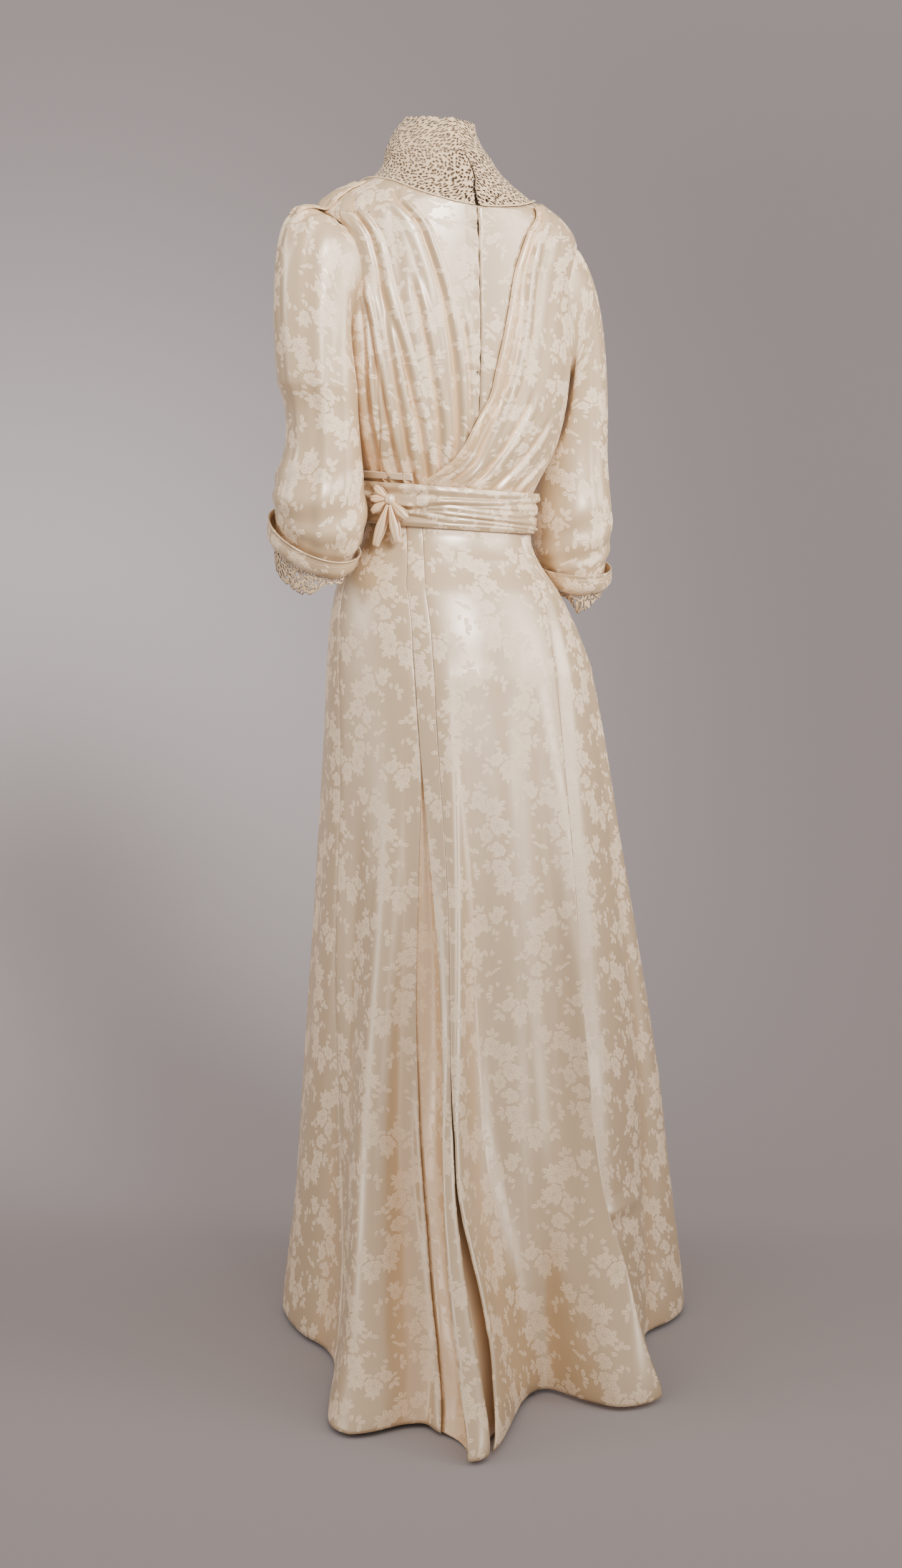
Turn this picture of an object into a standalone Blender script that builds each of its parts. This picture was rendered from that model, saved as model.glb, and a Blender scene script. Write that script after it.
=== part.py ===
"""Tea gown of silk damask with a lace collar, worn hollow, seen best from behind.

Every cut piece is a thin wall of its own. A wall is a grid whose points come from a surface: the body
and the skirt are stacks of oval sections, and folds move their points out along the surface normal.
The origin is where the wearer's shoulders hold the gown. The front faces -Y, the back +Y, and the
wearer's left is +X. Heights in the tables are above the floor.
"""

import math

import bmesh
import bpy
import numpy as np
from mathutils import Matrix, Vector

MOUNT_HEIGHT = 1.395
CLOTH = 0.0018
LACE = 0.0014
SEAM_GAP = 0.0004
WAIST_HEIGHT = 1.0388
HIP_HEIGHT = 0.80
TILT = 0.09
LAYER = 0.0030

# How far to each side a surface is read for its normal: of a wall, the body, the skirt and a sleeve
WALL_STEP = 0.0001
BODY_STEPS = (0.4, 0.02)
SKIRT_STEPS = (0.4, 0.004)
ARM_STEPS = (0.05, 0.15)
CAP_STEPS = (0.001, 0.001)

# The body from waist to the top of the stand collar
BODY_COLUMNS = ("height", "middle_x", "middle_y", "half_width", "back", "front")
BODY = (
    (1.0388, 0.000, 0.000, 0.108, 0.084, 0.082),
    (1.062, 0.000, 0.000, 0.120, 0.089, 0.096),
    (1.100, 0.000, 0.000, 0.141, 0.096, 0.116),
    (1.155, 0.000, 0.000, 0.156, 0.101, 0.130),
    (1.220, 0.000, 0.000, 0.163, 0.103, 0.132),
    (1.280, 0.000, 0.000, 0.166, 0.101, 0.120),
    (1.330, 0.000, 0.000, 0.170, 0.098, 0.100),
    (1.360, 0.000, 0.000, 0.168, 0.095, 0.084),
    (1.380, 0.000, 0.000, 0.152, 0.092, 0.072),
    (1.397, 0.001, 0.000, 0.122, 0.088, 0.062),
    (1.412, 0.002, 0.001, 0.094, 0.080, 0.055),
    (1.428, 0.006, 0.001, 0.076, 0.070, 0.056),
    (1.448, 0.009, -0.004, 0.0655, 0.060, 0.056),
    (1.470, 0.008, -0.014, 0.0535, 0.052, 0.050),
    (1.490, 0.003, -0.016, 0.0435, 0.044, 0.043),
)

# The skirt from the floor up to the waist. The back reaches out into a short train
SKIRT_COLUMNS = ("height", "left", "right", "back", "front")
SKIRT = (
    (0.001, 0.198, 0.260, 0.440, 0.180),
    (0.080, 0.193, 0.259, 0.395, 0.179),
    (0.180, 0.187, 0.256, 0.344, 0.177),
    (0.290, 0.181, 0.254, 0.296, 0.175),
    (0.400, 0.175, 0.247, 0.252, 0.171),
    (0.500, 0.168, 0.237, 0.222, 0.165),
    (0.600, 0.162, 0.223, 0.197, 0.157),
    (0.700, 0.158, 0.209, 0.175, 0.147),
    (0.815, 0.155, 0.190, 0.153, 0.131),
    (0.870, 0.151, 0.168, 0.139, 0.121),
    (0.915, 0.142, 0.145, 0.122, 0.109),
    (0.955, 0.122, 0.119, 0.100, 0.096),
    (0.980, 0.111, 0.110, 0.088, 0.088),
    (1.0376, 0.108, 0.108, 0.084, 0.082),
)

# Flutes at the hem: how far the cloth stands out at each angle round the skirt
HEM_COLUMNS = ("angle", "out")
HEM = (
    (-180, 0.000), (-160, 0.012), (-140, -0.006), (-118, 0.012), (-95, -0.004), (-72, 0.010),
    (-50, -0.006), (-28, -0.002), (-8, 0.014), (4, 0.038), (13, 0.043), (20, 0.034), (27, 0.039),
    (35, 0.062), (44, 0.093), (51, 0.112), (57, 0.108), (60, 0.088), (63, 0.056), (67, 0.041),
    (71, 0.045), (76, 0.060), (81, 0.088), (85, 0.112), (88, 0.120), (90, 0.100), (92, 0.030),
    (94, -0.010), (98, -0.034), (103, -0.038), (106, -0.020), (109, 0.036), (112, 0.088),
    (116, 0.114), (120, 0.112), (125, 0.076), (131, 0.026), (137, -0.002), (142, -0.004),
    (147, 0.020), (152, 0.034), (158, 0.032), (168, 0.010), (180, 0.000),
)
HEM_RIDGE = 89.5
SLANT_MOST = 22.0
SLANT_BEFORE = 60.0
SLANT_AFTER = 45.0
FLUTE_START = 0.86
FLUTE_POWER = 1.7
TRAIN_SWING = 0.62
SWING_START = 0.80

# Seams and folded edges of the skirt, as angles round it at each height
EDGE_COLUMNS = ("height", "angle")
LEFT_SEAM = ((0.00, 30), (0.27, 21), (0.53, 13), (0.72, 10), (0.92, 3), (1.04, 0))
PLEAT_FOLD = ((0.00, 74), (0.105, 62), (0.20, 56), (0.30, 51.8), (0.43, 50), (0.58, 50.8), (0.72, 53.3))
STRIP_EDGE = (
    (0.00, 86.3), (0.065, 79.6), (0.125, 73.6), (0.19, 69), (0.24, 66.4), (0.31, 63.8),
    (0.37, 62.4), (0.47, 60), (0.58, 56.5), (0.72, 53.3), (0.88, 51.4), (0.92, 48.5), (1.04, 39),
)
STRIP_SEAM = (
    (0.00, 89.5), (0.065, 83.8), (0.125, 77.8), (0.19, 72.6), (0.24, 69.4), (0.31, 67),
    (0.37, 65.6), (0.51, 64), (0.72, 61.4), (0.88, 60.5), (1.00, 54.3), (1.04, 52),
)
GORE_FOLD = (
    (0.00, 118.8), (0.05, 115.2), (0.093, 112.8), (0.137, 111.2), (0.18, 109.6), (0.22, 109),
    (0.32, 109), (0.50, 110.2), (0.67, 113.5), (0.80, 117.5), (0.87, 121.5), (0.95, 131),
    (1.04, 135),
)
FRONT_SEAM = 38
UNDER_LEFT = 5.0
UNDER_RIGHT = 1.0
STRIP_OPENS = 1.2
FOLD_OVERLAP = 4.0
SIDE_FLAT_TO = 136.5
PLEAT_DEPTH = 0.016
UNDER_TOP = 7.3
FOLDS_OPEN_AT = 0.72
UNDER_BEHIND = 0.0046
UNDER_BEHIND_LOW = 0.0020
SIDE_BEHIND = 0.0048
SIDE_BEHIND_LOW = 0.0050
SIDE_LEVEL_AT = 10.0
SIDE_RISES_OVER = 8.0
STRIP_OPENS_HEIGHT = 0.11
STRIP_OPENS_REACH = 0.16

# The surplice's leading edge, from the left waist over the back to the right shoulder
SURPLICE_EDGE = (
    (1.030, 50), (1.047, 57), (1.060, 67), (1.076, 76), (1.095, 82), (1.124, 88), (1.155, 94.5),
    (1.185, 97), (1.221, 100), (1.265, 103.5), (1.315, 107), (1.359, 114), (1.385, 126),
    (1.41, 138),
)
SURPLICE_FOLD_COLUMNS = ("behind_edge", "half_width", "height", "upper_share")
SURPLICE_FOLDS = (
    (2.5, 2.6, 0.0028, 1.0),
    (10.0, 3.6, 0.0036, 0.9),
    (20.0, 4.4, 0.0034, 0.6),
    (31.0, 5.0, 0.0028, 0.35),
    (43.0, 5.5, 0.0020, 0.2),
)

SURPLICE_CROWDING = 1.35
SURPLICE_SET_BACK = 0.6
OVER_PLEATS = 0.0044
SHOULDER_LIFT = 0.0012

# The folded band over the left shoulder, as places and angles of the body
BAND_LOW = 7.15
BAND_HIGH = 9.10
BAND_START = -15
BAND_END = 24
BAND_OUT = 0.0025
BAND_FOLD = 0.0024
BAND_FOLDS = 3

# Pleats of the left back, fanning from the shoulder down to the waist
PLEAT_COLUMNS = ("waist_angle", "middle_angle", "top_angle", "top_height", "height")
PLEATS = (
    (-3, 12, 20, 1.250, 0.0020),
    (5, 22, 30, 1.345, 0.0030),
    (13, 31, 30, 1.370, 0.0036),
    (21, 39, 32, 1.384, 0.0040),
    (29, 47, 37, 1.392, 0.0040),
    (37, 54, 45, 1.394, 0.0038),
    (45, 61, 56, 1.360, 0.0036),
    (53, 67, 66, 1.290, 0.0032),
    (61, 73, 73, 1.230, 0.0028),
)
PLEAT_WAIST_WIDTH = 0.0075
PLEAT_TOP_WIDTH = 0.013
PLEAT_MIDDLE_HEIGHT = 1.17

# The opening for the arm, as places in the body table and its reach forwards and back
ARMHOLE_BOTTOM = 3.45
ARMHOLE_TOP = 7.0
ARMHOLE_MIDDLE = (ARMHOLE_TOP + ARMHOLE_BOTTOM) / 2
ARMHOLE_HALF = (ARMHOLE_TOP - ARMHOLE_BOTTOM) / 2
ARMHOLE_BACK = 0.060
ARMHOLE_FRONT = 0.044
BODICE_ROWS = 14
ROWS_TO_LOW = 3 / BODICE_ROWS
ROWS_TO_HIGH = 12 / BODICE_ROWS
EDGE_DEGREES = 0.12
BODICE_BELOW = 0.02
SURPLICE_BELOW = 0.28

# The centre-back slit, as how far and where it stands open
SLIT_OPENS = 0.9
SLIT_PLACE = 6.9
SLIT_REACH = 1.3

# The neckline, as heights of the body before its lean
NECKLINE = (
    (-180, 1.404), (-150, 1.396), (-90, 1.372), (-30, 1.396), (0, 1.406), (35, 1.402), (70, 1.387),
    (90, 1.3825), (110, 1.387), (140, 1.398), (180, 1.404),
)
PIPING_OUT = 0.0026
PIPING_THICK = 0.0022
PIPING_PLACE = 0.02
PIPING_START = 91.2
PIPING_END = 448.8

# The lace yoke and the stand collar, as places in the body table
COLLAR_FOOT = 12.0
COLLAR_TOP = 14.0
COLLAR_LAP = 5.0
COLLAR_LAP_START = 1.4
COLLAR_LAP_WHOLE = 2.0
COLLAR_LAP_OUT = 0.0026
COLLAR_GAP = 0.012
YOKE_LAP = 0.03
NECK_PLACE = 9.3
LACE_LEAN = 8.0
LACE_LEAN_AT = 11.6
LACE_LEAN_REACH = 2.3

# Sleeves: rings that hang from the shoulder, from the arm's root down to the cuff
SLEEVE_COLUMNS = ("height", "middle_x", "middle_y", "half_wide", "half_deep", "rise_outward", "fall_back")
SLEEVE_LEFT = (
    (1.150, 0.181, 0.024, 0.049, 0.054, 0.00, 0.00),
    (1.120, 0.177, 0.025, 0.044, 0.050, 0.00, 0.00),
    (1.080, 0.175, 0.024, 0.045, 0.050, 0.00, -0.06),
    (1.050, 0.176, 0.021, 0.050, 0.053, 0.03, -0.14),
    (1.020, 0.177, 0.018, 0.056, 0.057, 0.06, -0.28),
    (0.996, 0.177, 0.014, 0.056, 0.057, 0.08, -0.42),
    (0.980, 0.178, 0.009, 0.051, 0.052, 0.10, -0.50),
    (0.966, 0.179, 0.003, 0.047, 0.048, 0.10, -0.50),
    (0.951, 0.180, -0.003, 0.047, 0.048, 0.10, -0.50),
    (0.931, 0.180, -0.006, 0.045, 0.046, 0.10, -0.50),
    (0.911, 0.180, -0.010, 0.041, 0.042, 0.10, -0.50),
    (0.891, 0.180, -0.014, 0.036, 0.037, 0.10, -0.50),
)
SLEEVE_RIGHT = (
    (1.145, 0.185, -0.026, 0.047, 0.052, 0.00, 0.00),
    (1.105, 0.186, -0.026, 0.046, 0.050, 0.00, 0.00),
    (1.065, 0.187, -0.024, 0.047, 0.050, 0.00, -0.05),
    (1.030, 0.187, -0.022, 0.050, 0.052, 0.02, -0.10),
    (1.000, 0.186, -0.024, 0.052, 0.053, 0.03, -0.18),
    (0.975, 0.185, -0.026, 0.050, 0.052, 0.04, -0.26),
    (0.958, 0.185, -0.024, 0.046, 0.048, 0.05, -0.30),
    (0.942, 0.186, -0.025, 0.044, 0.046, 0.05, -0.30),
    (0.924, 0.187, -0.029, 0.044, 0.046, 0.05, -0.30),
    (0.904, 0.187, -0.033, 0.043, 0.045, 0.05, -0.30),
    (0.884, 0.187, -0.037, 0.042, 0.044, 0.05, -0.30),
    (0.864, 0.187, -0.041, 0.041, 0.043, 0.05, -0.30),
)
SLEEVE_END = 8.0
SLEEVE_STRIPS = 22
SLEEVE_SEAM = 0.0008

# The left sleeve is two lengthwise pieces, each from one strip to another
LEFT_SLEEVE_COLUMNS = ("name", "first_strip", "last_strip")
LEFT_SLEEVE_PIECES = (("outer", -5, 5), ("inner", 5, 17))
CAP_SHARE = 6 / 14
CAP_PLEATS = 15
CAP_PLEAT_HEIGHT = 0.0022
CAP_CROWDING = 0.5
CAP_INSIDE = 0.0017
CAP_INSIDE_ENDS = 0.14
UNDERARM_RISE = 0.002
CAP_COLUMNS = ("first_reach", "first_rise", "fullness")
CAP_LEFT = (0.98, 0.026, 0.010)
CAP_RIGHT = (0.52, -0.020, -0.006)
CLEAR_LEFT = 0.0070
CLEAR_RIGHT = 0.0100
CLEAR_SIDE = 0.0020
CLEAR_SOFTNESS = 0.003
CUFF_ROOM = 0.0075
CUFF_ROOM_FROM = 1.02
CUFF_ROOM_OVER = 0.06

# Cuffs, as places down the sleeve's rings and how far they stand out from them
CUFF_COLUMNS = ("place", "out")
CUFF = ((6.35, 0.0078), (6.95, 0.0096), (7.55, 0.0092), (8.00, 0.0036))
CUFF_THICK = 0.0026
CUFF_FLATTER = 0.2

# The lace under each cuff, as how far it hangs at each angle round the sleeve
FRILL_COLUMNS = ("turn", "drop")
FRILL_LEFT = (
    (-180, 0.012), (-140, 0.014), (-100, 0.022), (-24, 0.028), (54, 0.030), (70, 0.024),
    (90, 0.010), (140, 0.010), (180, 0.011),
)
FRILL_RIGHT = (
    (-180, 0.012), (-100, 0.014), (0, 0.014), (62, 0.013), (78, 0.024), (105, 0.030), (120, 0.026),
    (130, 0.014), (180, 0.012),
)
SLEEVES = (
    ("left", 1, SLEEVE_LEFT, CAP_LEFT, CLEAR_LEFT, FRILL_LEFT),
    ("right", -1, SLEEVE_RIGHT, CAP_RIGHT, CLEAR_RIGHT, FRILL_RIGHT),
)
FRILL_GAP = 0.0011
EYELETS = 6
EYELET = 0.0046
EYELET_PERIOD = 0.0246
EYELET_TOP = 0.0080
SCALLOP_DEEP = 0.0030
SCALLOP_FROM = 0.011
SCALLOP_OVER = 0.012
FRILL_SPLIT = 0.001
SLEEVE_LAST_ROW = 0.020

# The sash round the waist, its bow and the narrow band above it
SASH_COLUMNS = ("height", "out")
SASH = (
    (0.990, 0.0038), (0.995, 0.0076), (1.001, 0.0070), (1.007, 0.0096), (1.014, 0.0080),
    (1.021, 0.0110), (1.028, 0.0092), (1.035, 0.0120), (1.041, 0.0112),
)
SASH_WAVE = 0.0012
SASH_HEIGHT = 1.014
SASH_REACH = 0.0125

WAISTBAND_START = -146
WAISTBAND_END = 50
WAISTBAND_FOOT = 1.0490
WAISTBAND_HIGH = 0.0075
WAISTBAND_OUT = 0.0050

# The knot and its loops, as directions round the knot
KNOT_ANGLE = 35.0
KNOT_HEIGHT = 1.020
KNOT_OUT = 0.0178
KNOT_SIZE = (0.0062, 0.0068, 0.0066)
KNOT_GAP = 0.0001
BOW_COLUMNS = ("name", "direction", "length", "wide")
BOW = (
    ("bow_loop_upper", 143, 0.019, 0.0085),
    ("bow_loop_side", 178, 0.019, 0.0090),
    ("bow_loop_lower", 213, 0.022, 0.0095),
    ("bow_tail_left", 252, 0.054, 0.0110),
    ("bow_tail_right", 283, 0.048, 0.0110),
    ("bow_loop_right", 316, 0.026, 0.0100),
)
LOOP_DEEP = 0.0070
LOOP_STEPS = 10
LOOP_SHORT = 0.06
LOOP_NARROW = 0.0030
RIBBON_THICK = 0.0015

HOOK_COLUMNS = ("name", "angle", "place", "out")
HOOKS = (
    ("collar_hook_upper", 100.5, 11.30, 0.0014),
    ("collar_hook_lower", 97.5, 10.20, 0.0014),
    ("waist_hook", 33.0, 0.55, 0.0064),
)

SILK = (0.80, 0.68, 0.55)
SILK_INSIDE = (0.72, 0.53, 0.36)
LACE_THREAD = (0.78, 0.68, 0.54)
STEEL = (0.42, 0.40, 0.38)


def between(rows, place):
    """Read every column of a table at a place between its rows, along a smooth curve."""
    rows = np.asarray(rows, float)
    last = len(rows) - 1
    place = np.clip(np.asarray(place, float), 0.0, last)
    low = np.minimum(place.astype(int), last - 1)
    part = (place - low)[..., None]
    before = rows[np.maximum(low - 1, 0)]
    start = rows[low]
    end = rows[low + 1]
    after = rows[np.minimum(low + 2, last)]
    slope_start = (end - before) / 2
    slope_end = (after - start) / 2
    square = part * part
    cube = square * part
    value = start * (2 * cube - 3 * square + 1) + slope_start * (cube - 2 * square + part)
    value = value + end * (3 * square - 2 * cube) + slope_end * (cube - square)
    return np.moveaxis(value, -1, 0)


def row_at(rows, value):
    """The place in a table whose first column has this value, by straight steps."""
    first = np.asarray(rows, float)[:, 0]
    return np.interp(value, first, np.arange(len(first)))


def edge_angle(rows, height):
    """The angle of a seam or fold at a height."""
    return between(rows, row_at(rows, height))[1]


def ease(value):
    """Rise smoothly from 0 to 1."""
    value = np.clip(value, 0.0, 1.0)
    return value * value * (3 - 2 * value)


def hump(distance):
    """A soft ridge of height 1 that is gone at a distance of 1."""
    distance = np.clip(np.abs(distance), 0.0, 1.0)
    return (1 - distance * distance) ** 2


def leaned(x, y, height):
    """Lean the upper body so that its right side is lower, and measure heights from the mount."""
    share = ease((height - HIP_HEIGHT) / (WAIST_HEIGHT - HIP_HEIGHT))
    return np.stack([x, y, height + TILT * x * share - MOUNT_HEIGHT], -1)


def body(angle, place):
    """A point of the body at an angle in degrees round it and a place in the body table."""
    height, middle_x, middle_y, half_width, back, front = between(BODY, place)
    turn = np.radians(angle)
    depth = np.where(np.sin(turn) > 0, back, front)
    x = middle_x + half_width * np.cos(turn)
    y = middle_y + depth * np.sin(turn)
    return leaned(x, y, height)


def hem_out(angle, height):
    """How far the cloth stands out at an angle. The flutes lean along with the back strip's seam."""
    slant = np.minimum(HEM_RIDGE - edge_angle(STRIP_SEAM, height), SLANT_MOST)
    turned = (np.asarray(angle, float) + 180.0) % 360.0 - 180.0
    past = turned - HEM_RIDGE + slant
    turned = turned + slant * hump(past / np.where(past > 0, SLANT_AFTER, SLANT_BEFORE))
    return between(HEM, row_at(HEM, turned))[1]


def skirt_shape(angle, height, out):
    """A point of the skirt with its train and swing, and with flutes that stand out at the hem."""
    _, left, right, back, front = between(SKIRT, row_at(SKIRT, height))
    turn = np.radians(angle)
    width = np.where(np.cos(turn) > 0, left, right)
    depth = np.where(np.sin(turn) > 0, back, front)
    growth = np.clip(1 - height / FLUTE_START, 0, 1) ** FLUTE_POWER
    steep_x = np.cos(turn) / width
    steep_y = np.sin(turn) / depth
    length = np.hypot(steep_x, steep_y)
    across = width * np.cos(turn) + out * growth * steep_x / length
    along = depth * np.sin(turn) + out * growth * steep_y / length
    swing = TRAIN_SWING * np.clip(1 - height / SWING_START, 0, 1) ** 1.5
    across = across + swing * np.clip(along, 0, None) ** 2
    return leaned(across, along, height)


def skirt(angle, height):
    """The skirt's own surface."""
    return skirt_shape(angle, height, hem_out(angle, height))


def side_skirt(angle, height):
    """The right side gore, which goes on behind the fold of the back gore without its flute."""
    out = hem_out(angle, height)
    return skirt_shape(angle, height, np.where(np.asarray(angle) < SIDE_FLAT_TO, 0.0, out))


def normal(surface, first, second, steps):
    """The outward normal, from the surface a little to each side."""
    first_step, second_step = steps
    along_first = surface(first + first_step, second) - surface(first - first_step, second)
    along_second = surface(first, second + second_step) - surface(first, second - second_step)
    across = np.cross(along_first, along_second)
    return across / np.linalg.norm(across, axis=-1, keepdims=True)


def moved_out(surface, out, steps):
    """A surface whose points are moved along its normal by what out gives."""
    def place(first, second):
        facing = normal(surface, first, second, steps)
        return surface(first, second) + facing * out(first, second)[..., None]
    return place


def cloth(name, surface, across, up, color, thick=CLOTH, closed=False, holes=None, roughness=0.45):
    """A wall whose middle is the surface for u and v from 0 to 1, with open rims and any holes."""
    mesh_data = bmesh.new()
    sides = []
    for sign in (0.5, -0.5):
        made = bmesh.ops.create_grid(mesh_data, x_segments=across, y_segments=up, size=1.0)
        points = made["verts"]
        flat = np.array([point.co[:2] for point in points])
        u = (flat[:, 0] + 1) / 2
        v = (flat[:, 1] + 1) / 2
        placed = surface(u, v) + normal(surface, u, v, (WALL_STEP, WALL_STEP)) * (sign * thick)
        for point, where in zip(points, placed):
            point.co = where
        sides.append((points, u, v))
    outer, inner = sides[0][0], sides[1][0]
    partner = dict(zip(outer, inner))
    order = {point: number for number, point in enumerate(outer)}
    outer_faces = [face for face in mesh_data.faces if face.verts[0] in partner]
    if holes:
        u, v = sides[0][1], sides[0][2]
        for face in list(outer_faces):
            numbers = [order[point] for point in face.verts]
            if holes(u[numbers].mean(), v[numbers].mean()):
                twin = [partner[point] for point in face.verts]
                other = mesh_data.faces.get(twin)
                mesh_data.faces.remove(other)
                mesh_data.faces.remove(face)
    split_alike(mesh_data, partner)
    if closed:
        merge_seam(mesh_data, sides)
    rims = [edge for edge in mesh_data.edges if len(edge.link_faces) == 1 and edge.verts[0] in partner]
    for edge in rims:
        first, second = edge.verts
        for half in shorter_halves(first, second, partner[second], partner[first]):
            mesh_data.faces.new(half)
    loose = [point for point in mesh_data.verts if not point.link_faces]
    bmesh.ops.delete(mesh_data, geom=loose, context="VERTS")
    bmesh.ops.recalc_face_normals(mesh_data, faces=mesh_data.faces)
    return finish(name, mesh_data, color, roughness)


def shorter_halves(first, second, third, fourth):
    """The two triangles that a four-sided face is cut into along its shorter diagonal."""
    if (first.co - third.co).length <= (second.co - fourth.co).length:
        return (first, second, third), (first, third, fourth)
    return (first, second, fourth), (second, third, fourth)


def split_alike(mesh_data, partner):
    """Cut every four-sided face of both layers along the same diagonal."""
    for face in [face for face in mesh_data.faces if face.verts[0] in partner]:
        corners = list(face.verts)
        twins = [partner[point] for point in corners]
        mesh_data.faces.remove(mesh_data.faces.get(twins))
        mesh_data.faces.remove(face)
        for half in shorter_halves(*corners):
            mesh_data.faces.new(half)
            mesh_data.faces.new([partner[point] for point in half])


def merge_seam(mesh_data, sides):
    """Weld the last column of a grid to its first, so that the wall is a tube."""
    pairs = {}
    for points, u, v in sides:
        rows = {}
        for point, along, height in zip(points, u, v):
            if along < 1e-4 or along > 1 - 1e-4:
                rows.setdefault(round(float(height), 4), {})[along > 0.5] = point
        for row in rows.values():
            pairs[row[True]] = row[False]
    bmesh.ops.weld_verts(mesh_data, targetmap=pairs)


def finish(name, mesh_data, color, roughness=0.45, metallic=0.0):
    """Turn the mesh data into a named object with its own material."""
    mesh = bpy.data.meshes.new(name)
    mesh_data.to_mesh(mesh)
    mesh_data.free()
    mesh.shade_smooth()
    mesh.set_sharp_from_angle(angle=math.radians(50))
    thing = bpy.data.objects.new(name, mesh)
    bpy.context.scene.collection.objects.link(thing)
    material = bpy.data.materials.new(name)
    material.use_nodes = True
    shader = material.node_tree.nodes["Principled BSDF"]
    shader.inputs["Base Color"].default_value = (*color, 1.0)
    shader.inputs["Roughness"].default_value = roughness
    shader.inputs["Metallic"].default_value = metallic
    mesh.materials.append(material)
    return thing


def pleats(angle, place):
    """How far the left back stands out in its pleats."""
    height, _, _, half_width, back, _ = between(BODY, place)
    share = np.clip((height - WAIST_HEIGHT) / (PLEAT_MIDDLE_HEIGHT - WAIST_HEIGHT), 0, 1)
    total = np.zeros(np.broadcast(angle, place).shape)
    radius = np.hypot(half_width * np.sin(np.radians(angle)), back * np.cos(np.radians(angle)))
    for waist_angle, middle_angle, top_angle, top_height, ridge in PLEATS:
        upper = np.clip((height - PLEAT_MIDDLE_HEIGHT) / (top_height - PLEAT_MIDDLE_HEIGHT), 0, 1)
        line = waist_angle + (middle_angle - waist_angle) * np.sin(share * np.pi / 2)
        line = line + (top_angle - middle_angle) * upper ** 1.5
        width = PLEAT_WAIST_WIDTH + (PLEAT_TOP_WIDTH - PLEAT_WAIST_WIDTH) * share
        off = np.radians(angle - line) * radius / width
        fade = ease((top_height - height) / 0.04) * (0.2 + 0.8 * ease((height - WAIST_HEIGHT) / 0.03))
        total = total + ridge * hump(off) * fade
    hole = armhole_angle(place, ARMHOLE_BACK, 4)
    beside_hole = 0.35 + 0.65 * ease((angle - hole) / 9.0)
    seam = ease((88.0 - angle) / 8.0) * ease((angle + 12.0) / 12.0) * beside_hole
    return total * seam


def bodice_surface(angle, place):
    """The bodice's surface, with the left back in pleats."""
    return moved_out(body, pleats, BODY_STEPS)(angle, place)


def neck_place(angle):
    """The place in the body table where the bodice ends and the lace starts."""
    turned = (np.asarray(angle, float) + 180.0) % 360.0 - 180.0
    height = between(NECKLINE, row_at(NECKLINE, turned))[1]
    return row_at(BODY, height)


def armhole_angle(place, reach, depth_column):
    """The angle from the side line to the armhole's edge, which is an oval."""
    share = np.clip((place - ARMHOLE_MIDDLE) / ARMHOLE_HALF, -1, 1)
    depth = between(BODY, place)[depth_column]
    return np.degrees(np.arcsin(reach * np.sqrt(1 - share * share) / depth))


def bodice_place(v, top):
    """The bodice's rows, which are closer together beside the armhole."""
    above = ARMHOLE_TOP + (top - ARMHOLE_TOP) * (v - ROWS_TO_HIGH) / (1 - ROWS_TO_HIGH)
    beside = np.clip((v - ROWS_TO_LOW) / (ROWS_TO_HIGH - ROWS_TO_LOW), 0, 1)
    beside = ARMHOLE_MIDDLE - ARMHOLE_HALF * np.cos(np.pi * beside)
    below = ARMHOLE_BOTTOM * v / ROWS_TO_LOW
    return np.where(v < ROWS_TO_LOW, below, np.where(v > ROWS_TO_HIGH, above, beside))


def bodice_panel(start_angle, end_angle):
    """A bodice wall between two edges that may follow the armholes."""
    def place(u, v):
        level = bodice_place(v, NECK_PLACE)
        for _ in range(3):
            angle = start_angle(level) * (1 - u) + end_angle(level) * u
            level = bodice_place(v, neck_place(angle) - BODICE_BELOW)
        return bodice_surface(angle, level)
    return place


def left_back_edge(place):
    return armhole_angle(place, ARMHOLE_BACK, 4) + EDGE_DEGREES


def left_front_edge(place):
    return -armhole_angle(place, ARMHOLE_FRONT, 5) - EDGE_DEGREES


def right_back_edge(place):
    return 180.0 - armhole_angle(place, ARMHOLE_BACK, 4) - EDGE_DEGREES


def right_front_edge(place):
    return -180.0 + armhole_angle(place, ARMHOLE_FRONT, 5) + EDGE_DEGREES


def opening_gap(place):
    """Half of the centre-back slit, which stands a little open under its top."""
    return EDGE_DEGREES + SLIT_OPENS * hump((np.asarray(place) - SLIT_PLACE) / SLIT_REACH)


def opening_left(place):
    return 90.0 - opening_gap(place)


def opening_right(place):
    return 90.0 + opening_gap(place)


def make_bodice():
    cloth("bodice_back_left", bodice_panel(left_back_edge, opening_left), 26, BODICE_ROWS, SILK)
    cloth("bodice_back_right", bodice_panel(opening_right, right_back_edge), 10, BODICE_ROWS, SILK)
    cloth("bodice_front", bodice_panel(right_front_edge, left_front_edge), 12, BODICE_ROWS, SILK)


def surplice_out(behind, place):
    """The surplice lies over the pleats, and its own folds run beside its leading edge."""
    height = between(BODY, place)[0]
    upper = ease((height - 1.06) / 0.20)
    waist = 0.45 + 0.55 * ease((height - WAIST_HEIGHT) / 0.03)
    total = np.zeros(np.broadcast(behind, place).shape)
    for after, half_width, ridge, upper_share in SURPLICE_FOLDS:
        size = 1 + (upper_share - 1) * upper
        total = total + ridge * size * hump((behind - after) / half_width)
    return total * waist


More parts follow.
